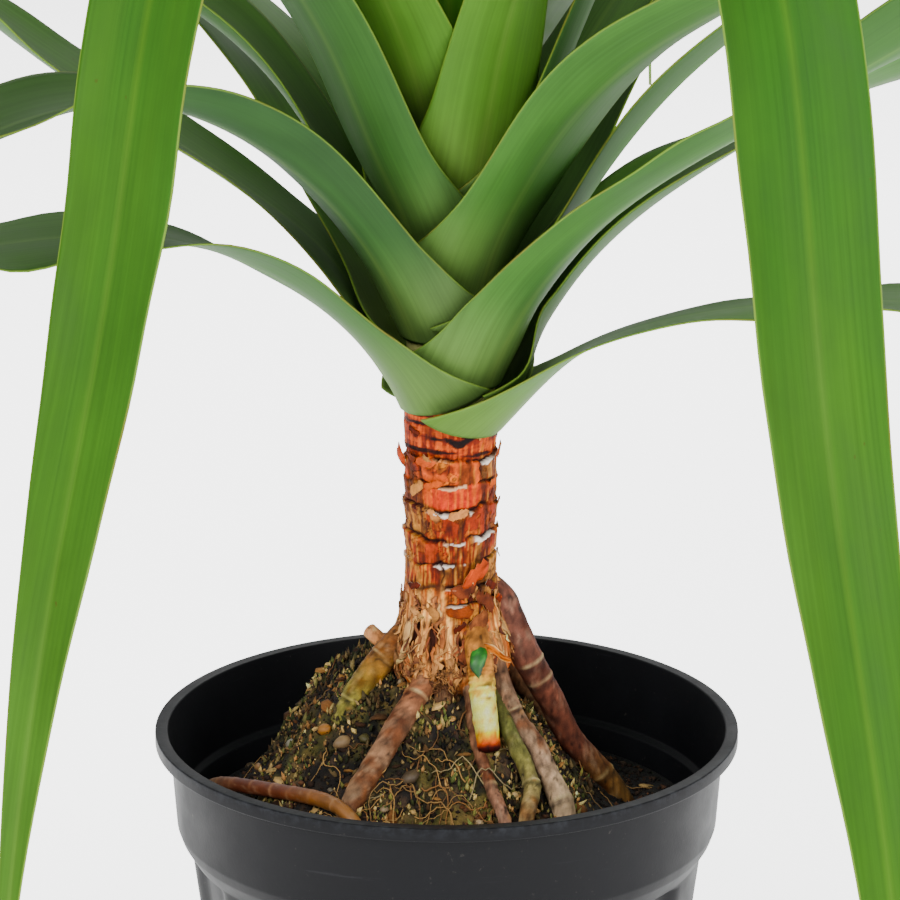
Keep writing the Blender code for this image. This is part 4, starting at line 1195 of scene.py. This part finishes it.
# Stones with a place of their own: x, y, size and colour
STONES = (
    (-0.0366, -0.0275, 0.0038, (0.64, 0.52, 0.38)),
    (-0.0563, -0.0015, 0.0021, (0.82, 0.78, 0.68)),
    (-0.0128, -0.0435, 0.0036, (0.70, 0.58, 0.44)),
    (0.0506, 0.0125, 0.0022, (0.62, 0.50, 0.42)),
    (-0.0433, -0.0175, 0.0030, (0.62, 0.42, 0.22)),
    (-0.0288, -0.0280, 0.0028, (0.62, 0.56, 0.30)),
    (-0.0691, 0.0125, 0.0020, (0.60, 0.46, 0.32)),
    (0.0240, -0.0420, 0.0022, (0.66, 0.56, 0.40)),
)


def clear_of_trunk(x, y, rng):
    return np.hypot(x - STEM_X, y) > 0.015


def mossy(x, y, rng):
    spot = layered(np.stack([x, y, np.zeros_like(x)], -1), 75, 3, 33) + 0.25
    chance = (0.12 + 0.88 * ramp(-0.05, 0.30, spot)) * ramp(0.10, 0.36, heap_share(x, y))
    return (rng.uniform(0, 1, len(x)) < chance) & clear_of_trunk(x, y, rng)


def on_mound(x, y, rng):
    chance = 0.05 + 0.95 * ramp(0.08, 0.34, heap_share(x, y))
    return (rng.uniform(0, 1, len(x)) < chance) & clear_of_trunk(x, y, rng)


def build_litter():
    crumb = tinted_material("crumbs of bark and peat", 0.9, 1400.0, 0.0004, 0.7, 0.25, 0.15)
    stone = tinted_material("small stones", 0.6, 700.0, 0.0002, 0.3, 0.1, 0.3)
    moss = tinted_material("dry moss", 0.9, 2400.0, 0.0006, 0.8, 0.3, 0.15)
    sizes, flatness = (0.0004, 0.0016), (0.4, 1.0)
    crumbs = scatter("soil_crumbs", 7000, sizes, flatness, CRUMB_TONES, 71, clear_of_trunk, fine=False)
    finish_piece(crumbs, crumb, "soil")
    sizes, flatness = (0.0013, 0.0034), (0.18, 0.45)
    chips = scatter("bark_chips", 420, sizes, flatness, CHIP_TONES, 72, on_mound, rough=0.34)
    finish_piece(chips, crumb, "soil")
    sizes, flatness = (0.0010, 0.0022), (0.6, 0.9)
    pebbles = scatter("pebbles", 46, sizes, flatness, STONE_TONES, 73, on_mound, rough=0.07, extra=STONES)
    finish_piece(pebbles, stone, "soil")
    sizes, flatness = (0.0003, 0.0010), (1.3, 3.2)
    tufts = scatter("moss_tufts", 19000, sizes, flatness, MOSS_TONES, 74, mossy, 0.2, 0.45, fine=False)
    finish_piece(tufts, moss, "soil")


ROOTLET_TONES = ((0.74, 0.58, 0.38), (0.60, 0.42, 0.26), (0.74, 0.66, 0.50))


def build_rootlets():
    """Dry fine roots: some all over the mound, and a loose mat of them at its front."""
    rng = np.random.default_rng(81)
    meshes = []
    for i in range(92):
        mat = i >= 40
        if mat:
            x, y = rng.uniform(-0.026, 0.022), rng.uniform(-0.068, -0.044)
            heading = rng.choice((0.0, pi)) + rng.normal(0, 0.5)
        else:
            radius, angle = 0.070 * np.sqrt(rng.uniform(0.06, 1)), rng.uniform(0, 2 * pi)
            x, y = radius * np.sin(angle), -radius * np.cos(angle)
            heading = rng.uniform(0, 2 * pi)
        bend = rng.uniform(-80, 80)
        length = rng.uniform(0.010, 0.030)
        steps = 20
        s = np.linspace(0, length, steps)
        turn = heading + bend * s + 0.7 * np.sin(s * 330 + rng.uniform(0, 6))
        x = x + np.cumsum(np.cos(turn)) * length / steps
        y = y + np.cumsum(np.sin(turn)) * length / steps
        inside = np.hypot(x, y) < 0.086
        if inside.sum() < 8:
            continue
        x, y = x[inside], y[inside]
        arch = np.sin(np.linspace(0, pi, len(x))) * rng.uniform(0, 1)
        lift = 0.0007 + (0.0050 if mat or i % 4 == 0 else 0.0020) * arch
        thick = rng.uniform(0.00014, 0.00034) * np.linspace(1.0, 0.5, len(x))
        path = np.stack([x, y, ground(x, y) + lift, thick], -1)
        vertices, faces, _ = tube(path, 5, None, 0.4, 0.4)
        tone = np.array(ROOTLET_TONES[rng.choice(3, p=(0.5, 0.42, 0.08))])
        meshes.append((vertices, faces, np.tile(tone * rng.uniform(0.8, 1.1), (len(vertices), 1))))
    obj = join_meshes("rootlets", meshes)
    finish_piece(obj, tinted_material("dry rootlets", 0.8, 1200.0, 0.0002, 0.4, 0.15, 0.3), "soil")


def join_meshes(name, meshes):
    vertices, faces, tints, start = [], [], [], 0
    for points, blocks, tint in meshes:
        vertices.append(points)
        tints.append(tint)
        faces += [block + start for block in blocks]
        start += len(points)
    obj = add_mesh(name, np.concatenate(vertices), faces)
    paint(obj, np.clip(np.concatenate(tints), 0, 1))
    return obj


# The shares of a leaf's length that its slopes and rolls are given for
STATIONS = np.array((0.0, 0.05, 0.12, 0.25, 0.45, 0.70, 1.0))
Leaf = namedtuple("Leaf", "name azimuth height slopes length width sweep cup fold rolls")
LEAVES = (
    Leaf("right_1", 69, 0.290, (50, 46, 22, 7, -4, -14, -40), 0.54, 0.041, -5, 0, 0, (-2, -1, 2)),
    Leaf("right_2", 46, 0.307, (67, 57, 42, 30, 29, -1, -35), 0.57, 0.040, -2, 0.2, 0.23, (4, 6, -16)),
    Leaf("right_3", 37, 0.340, (71, 57, 47, 27, 23, -14, -50), 0.59, 0.040, -1, 0.04, 0.3, (-2, -3, 13)),
    Leaf("right_4", 24, 0.369, (64, 69, 57, 24, -67, -60, -78), 0.75, 0.039, -6, 0, 0.3, (21, 14, 16)),
    Leaf("right_5", 83, 0.321, (61, 60, 57, 38, 25, -5, -40), 0.57, 0.040, 1, 0.08, 0.24, (-7, -8, -3)),
    Leaf("right_6", 78, 0.358, (78, 66, 69, 62, 41, 0, -35), 0.52, 0.038, 0, 0, 0.14, (-3, -1, -2)),
    Leaf("right_7", 120, 0.298, (49, 56, 42, 25, 11, 6, -35), 0.45, 0.040, 0, 0.47, 0.25, (-8, -4, -33)),
    Leaf("left_1", -67, 0.298, (67, 50, 33, 2, -8, -8, -40), 0.58, 0.042, 5, 0.1, 0.1, (11, -9, 0)),
    Leaf("left_2", -47, 0.324, (67, 58, 46, 26, -13, -17, -50), 0.49, 0.040, 0, 0.13, 0.38, (2, 5, -3)),
    Leaf("left_3", -41, 0.348, (78, 59, 62, 42, 21, -29, -60), 0.59, 0.040, -1, 0.16, 0.19, (-5, -1, -5)),
    Leaf("left_4", -24, 0.388, (74, 58, 47, 33, -60, -58, -73), 0.61, 0.039, 4, 0, 0.12, (-6, -23, 6)),
    Leaf("left_5", -108, 0.303, (61, 61, 36, 28, 36, -20, -45), 0.59, 0.040, -5, 0, 0.26, (7, 3, 23)),
    Leaf("left_6", -105, 0.333, (63, 64, 55, 28, 25, -5, -40), 0.58, 0.040, 1, 0, 0.44, (6, 0, 6)),
    Leaf("front_1", -1, 0.395, (63, 72, 73, 62, 52, 20, -20), 0.5, 0.038, 0, 0.04, 0.14, (-8, 2, -3)),
    Leaf("back_1", 166, 0.294, (55, 47, 40, 20, 8, -12, -40), 0.54, 0.040, 3, 0.09, 0.15, (2, 5, 3)),
    Leaf("back_2", -143, 0.315, (56, 52, 47, 27, 8, -12, -42), 0.56, 0.040, -4, 0.09, 0.11, (-12, -1, 15)),
    Leaf("back_3", 146, 0.318, (61, 52, 42, 32, 12, -10, -40), 0.55, 0.040, 2, 0.21, 0.47, (14, 3, 13)),
    Leaf("back_4", -174, 0.326, (70, 59, 45, 32, 16, -12, -45), 0.57, 0.040, -3, 0.05, 0.5, (-6, -1, -12)),
    Leaf("back_5", -156, 0.338, (59, 65, 52, 40, 21, -14, -50), 0.57, 0.040, 4, 0.07, 0.13, (2, 4, 7)),
    Leaf("back_6", 131, 0.348, (62, 60, 52, 39, 20, -12, -50), 0.56, 0.040, -3, 0.08, 0, (-3, -4, -14)),
    Leaf("back_7", 173, 0.353, (74, 68, 57, 44, -21, -55, -70), 0.62, 0.039, 5, 0, 0.3, (6, 8, 9)),
    Leaf("back_8", -86, 0.374, (69, 62, 57, 52, 33, -5, -45), 0.55, 0.039, -4, 0.01, 0, (-10, 14, 4)),
    Leaf("back_9", -155, 0.379, (69, 62, 62, 54, 30, -10, -50), 0.54, 0.038, 3, 0, 0.03, (8, 1, -7)),
    Leaf("back_10", 139, 0.384, (64, 66, 66, 53, 33, -5, -50), 0.52, 0.038, -4, 0.16, 0.39, (-2, -5, 10)),
    Leaf("top_1", 53, 0.400, (63, 77, 72, 60, 50, 10, -30), 0.5, 0.038, 3, 0.05, 0.08, (3, 3, 9)),
    Leaf("top_2", -57, 0.403, (67, 79, 69, 64, 48, 12, -30), 0.48, 0.037, -3, 0, 0.14, (-1, -2, -7)),
    Leaf("top_3", 179, 0.407, (77, 72, 76, 63, 54, 20, -20), 0.47, 0.036, 2, 0.03, 0.25, (-1, 1, 9)),
    Leaf("top_4", -123, 0.415, (76, 74, 75, 70, 61, 32, -5), 0.45, 0.035, 2, 0, 0.25, (2, 6, 2)),
    Leaf("top_5", 108, 0.422, (77, 73, 76, 82, 69, 42, 5), 0.43, 0.034, -2, 0.06, 0.25, (-7, -6, -5)),
    Leaf("top_6", -20, 0.429, (81, 74, 84, 74, 66, 52, 20), 0.4, 0.032, 2, 0, 0.29, (16, 4, -5)),
    Leaf("top_7", -163, 0.437, (83, 80, 85, 71, 79, 66, 45), 0.37, 0.030, 0, 0, 0.28, (3, -7, -4)),
    Leaf("spear", 62, 0.448, (88, 88, 84, 85, 84, 78, 70), 0.33, 0.026, 0, 0, 0.39, (-5, 13, -1)),
)
# How bright a leaf's green is, from 0 to 1: partly its own colour, partly painted light and shade for how
# much light the leaf gets
LEAF_GREEN_AND_LIGHT = {"right_4": 0.95, "left_4": 0.92, "left_2": 0.10, "right_2": 0.34, "right_3": 0.5, "front_1": 0.5,
          "right_1": 0.5, "left_1": 0.24, "left_3": 0.35, "spear": 0.5, "top_6": 0.5, "top_7": 0.5}
# How far the margins of some leaves wave, in metres
WAVES = {"left_1": 0.0034, "right_1": 0.0026, "right_7": 0.0014, "right_2": 0.0014, "left_5": 0.0012,
         "left_2": 0.0012}
LEAST_WAVE = 0.0006
LEAF_GAP = 0.0009
CLASP = 0.022
CLASP_FADE = 0.022
MOST_WRAP = 2.4
EDGE_RISE = 0.012
TIP_HALF_WIDTH = 0.0007


def stem_radius(height):
    """The radius of the stem that the leaves clasp."""
    return TRUNK_RADIUS - (TRUNK_RADIUS - TIP_RADIUS) * ramp(TAPER_FROM, TAPER_TO, height)


def at_station(values, share):
    """A smooth curve through a value for each station, read at shares of the leaf's length."""
    values = np.asarray(values, float)
    share = np.asarray(share, float)
    steps = np.diff(STATIONS)
    rises = np.diff(values) / steps
    before = np.concatenate([rises[:1], rises[:-1]])
    after = np.concatenate([rises[1:], rises[-1:]])
    i = np.clip(np.searchsorted(STATIONS, share, side="left") - 1, 0, len(steps) - 1)
    span = steps[i]
    u = (share - STATIONS[i]) / span
    start = (2 * u**3 - 3 * u**2 + 1) * values[i]
    start = start + (u**3 - 2 * u**2 + u) * span * (before[i] + rises[i]) / 2
    end = (3 * u**2 - 2 * u**3) * values[i + 1] + (u**3 - u**2) * span * (rises[i] + after[i]) / 2
    return start + end


class LeafSurface:
    """The middle surface of one leaf, as in the solids."""

    def __init__(self, leaf):
        self.leaf = leaf
        steps = 240
        self.along = np.linspace(0, leaf.length, steps + 1)
        self.slope = np.radians(at_station(leaf.slopes, self.along / leaf.length))
        middle = np.radians(at_station(leaf.slopes, (np.arange(steps) + 0.5) / steps))
        step = leaf.length / steps
        self.radius = float(stem_radius(leaf.height)) + LEAF_GAP
        self.radius = self.radius + np.concatenate([[0.0], np.cumsum(step * np.cos(middle))])
        self.height = leaf.height + np.concatenate([[0.0], np.cumsum(step * np.sin(middle))])

    def points(self, along, across):
        leaf = self.leaf
        slide = EDGE_RISE * across**2 * np.clip(1 - along / 0.05, 0, None)
        reach = np.minimum(along + slide, leaf.length)
        radius = np.interp(reach, self.along, self.radius)
        height = np.interp(reach, self.along, self.height)
        slope = np.interp(reach, self.along, self.slope)
        share = along / leaf.length
        body = leaf.width / 2 * (0.93 + 0.07 * ramp(0.05, 0.3, share))
        body = body * (1 - ramp(0.42, 1.02, share) ** 1.3)
        half = np.maximum(body, TIP_HALF_WIDTH) + CLASP * np.exp(-along / CLASP_FADE)
        half = np.minimum(half, MOST_WRAP * radius)
        azimuth = np.radians(leaf.azimuth + leaf.sweep * share**2)
        first, second, third = leaf.rolls
        roll = np.radians(at_station((0, 0, first, second, third, third, third), share))
        cup = leaf.cup * ramp(0.008, 0.035, along) * (1 - ramp(0.05, 0.15, along))
        lift = half * np.abs(across) ** 1.6 * (leaf.fold * ramp(0.03, 0.12, along) + cup)
        spread = across * half
        self.half = half
        wrapped = frame_points(azimuth + spread / radius, radius, height, slope, 0.0, lift, 0.0)
        flat = frame_points(azimuth, radius, height, slope, spread, lift, roll)
        share = ramp(0.025, 0.07, radius)[..., None]
        return wrapped * (1 - share) + flat * share + np.array((STEM_X, 0, 0))


def frame_points(azimuth, radius, height, slope, spread, lift, roll):
    """Points of a leaf, from its middle line: spread is across its face and lift is out of it."""
    outward = polar(1.0, azimuth, 0.0)
    sideways = np.stack([np.cos(azimuth), np.sin(azimuth), np.zeros_like(azimuth)], -1)
    upward = np.array((0.0, 0.0, 1.0))
    face = np.cos(slope)[..., None] * upward - np.sin(slope)[..., None] * outward
    point = radius[..., None] * outward + height[..., None] * upward
    spread, lift = np.broadcast_to(spread, radius.shape), np.broadcast_to(lift, radius.shape)
    roll = np.broadcast_to(roll, radius.shape)[..., None]
    point = point + spread[..., None] * (np.cos(roll) * sideways + np.sin(roll) * face)
    return point + lift[..., None] * (np.cos(roll) * face - np.sin(roll) * sideways)


def build_leaf(leaf, index, material):
    rows, columns = 92, 24
    along = leaf.length * np.linspace(0, 1, rows + 1) ** 1.35
    across = np.linspace(-1, 1, columns + 1)
    across = np.sin(across * pi / 2) * 0.35 + across * 0.65
    s, u = np.meshgrid(along, across, indexing="ij")
    surface = LeafSurface(leaf)
    mid = surface.points(s, u)
    half = surface.half
    du = np.gradient(mid, axis=1)
    ds = np.gradient(mid, axis=0)
    normal = np.cross(du, ds)
    normal /= np.linalg.norm(normal, axis=-1)[..., None] + 1e-12
    share = s / leaf.length
    spread = u * half
    rng = np.random.default_rng(400 + index)
    phase = rng.uniform(0, 2 * pi, 4)

    # the margins wave softly, and the midrib is a shallow channel above and a low ridge below
    free = ramp(0.06, 0.2, s)
    wave = np.sin(s * 52 + phase[0] + 1.3 * np.sin(s * 21 + phase[1])) + 0.5 * np.sin(s * 118 + phase[2])
    wave = wave * np.abs(u) ** 3 * WAVES.get(leaf.name, LEAST_WAVE) * free * half / 0.02
    channel = np.exp(-((spread / 0.0022) ** 2)) * (1 - 0.6 * share)
    ribs = np.cos(spread * 2 * pi / 0.0042 + phase[3]) * 0.000015
    thick = 0.0005 * (1 - 0.45 * np.abs(u) ** 4) * (1 - 0.3 * ramp(0.7, 1.0, share))
    upper = mid + normal * (thick + wave - 0.00022 * channel + ribs)[..., None]
    lower = mid - normal * (thick - wave - 0.00012 * channel + ribs)[..., None]
    obj = add_mesh(f"leaf_blade_{leaf.name}", *sheet(upper, lower))

    uv = obj.data.uv_layers.new(name="along")
    flat_u = np.tile(spread.ravel() + index * 0.31, 2)
    flat_v = np.tile(s.ravel() + index * 0.77, 2)
    loops = np.empty(len(obj.data.loops), np.int32)
    obj.data.loops.foreach_get("vertex_index", loops)
    uv.data.foreach_set("uv", np.stack([flat_u[loops], flat_v[loops]], -1).ravel().astype(np.float32))
    tints = [leaf_tint(leaf, s, u, half, side, index).reshape(-1, 3) for side in (1, -1)]
    paint(obj, np.concatenate(tints))
    number(obj, np.tile(((1 - np.abs(u)) * half).ravel(), 2), "edge")
    finish_piece(obj, material, "leaf", f"leaf_{leaf.name}")


def leaf_tint(leaf, s, u, half, side, index):
    """The colour of a leaf's face: side is 1 on the upper one and -1 on the lower one."""
    rng = np.random.default_rng(900 + index)
    share = s / leaf.length
    p = np.stack([u * half, s, np.full_like(s, index * 0.37)], -1)
    bright, mid_green, deep = (0.13, 0.35, 0.02), (0.33, 0.50, 0.26), (0.23, 0.35, 0.21)
    # how bright this leaf is painted: its own green with painted light and shade
    tone = LEAF_GREEN_AND_LIGHT.get(leaf.name, 0.38 if leaf.name.startswith("back") else 0.30)
    mottle = layered(p, (80, 12, 1), 3, 5)
    wide = layered(p, (25, 9, 1), 2, 6)
    lit = tone + 0.20 * mottle + 0.16 * wide + rng.uniform(-0.03, 0.03)
    colour = blend(deep, mid_green, np.clip(lit * 2, 0, 1))
    colour = blend(colour, bright, np.clip(lit * 2 - 1, 0, 1))
    # the lower face is greyer: partly its own duller colour, partly a painted grey sheen
    if side < 0:
        colour = blend(colour, (0.31, 0.42, 0.21), 0.45)
    if tone > 0.8:
        colour = blend(colour, (0.44, 0.61, 0.31), 0.85 * (1 - ramp(0.10, 0.22, s)))
        colour = blend(colour, (0.42, 0.54, 0.30), 0.35 * ramp(0.45, 0.95, share))
    base = 1 - ramp(0.004, 0.055, s)
    colour = blend(colour, (0.68, 0.76, 0.48), 0.42 * base)
    rib = np.exp(-((u * half / 0.0010) ** 2)) * (0.22 if side > 0 else 0.16)
    colour = blend(colour, (0.66, 0.76, 0.44), rib)
    tip = ramp(0.972, 0.995, share + 0.004 * mottle)
    return blend(colour, (0.46, 0.34, 0.17), tip * (1.0 if tone > 0.8 else 0.35))


def build_leaves():
    material = leaf_material()
    for index, leaf in enumerate(LEAVES):
        build_leaf(leaf, index, material)


build_stage()
build_pot()
build_soil()
build_trunk()
build_surface_root()
build_loose_bark()
build_bud()
build_litter()
build_rootlets()
build_leaves()
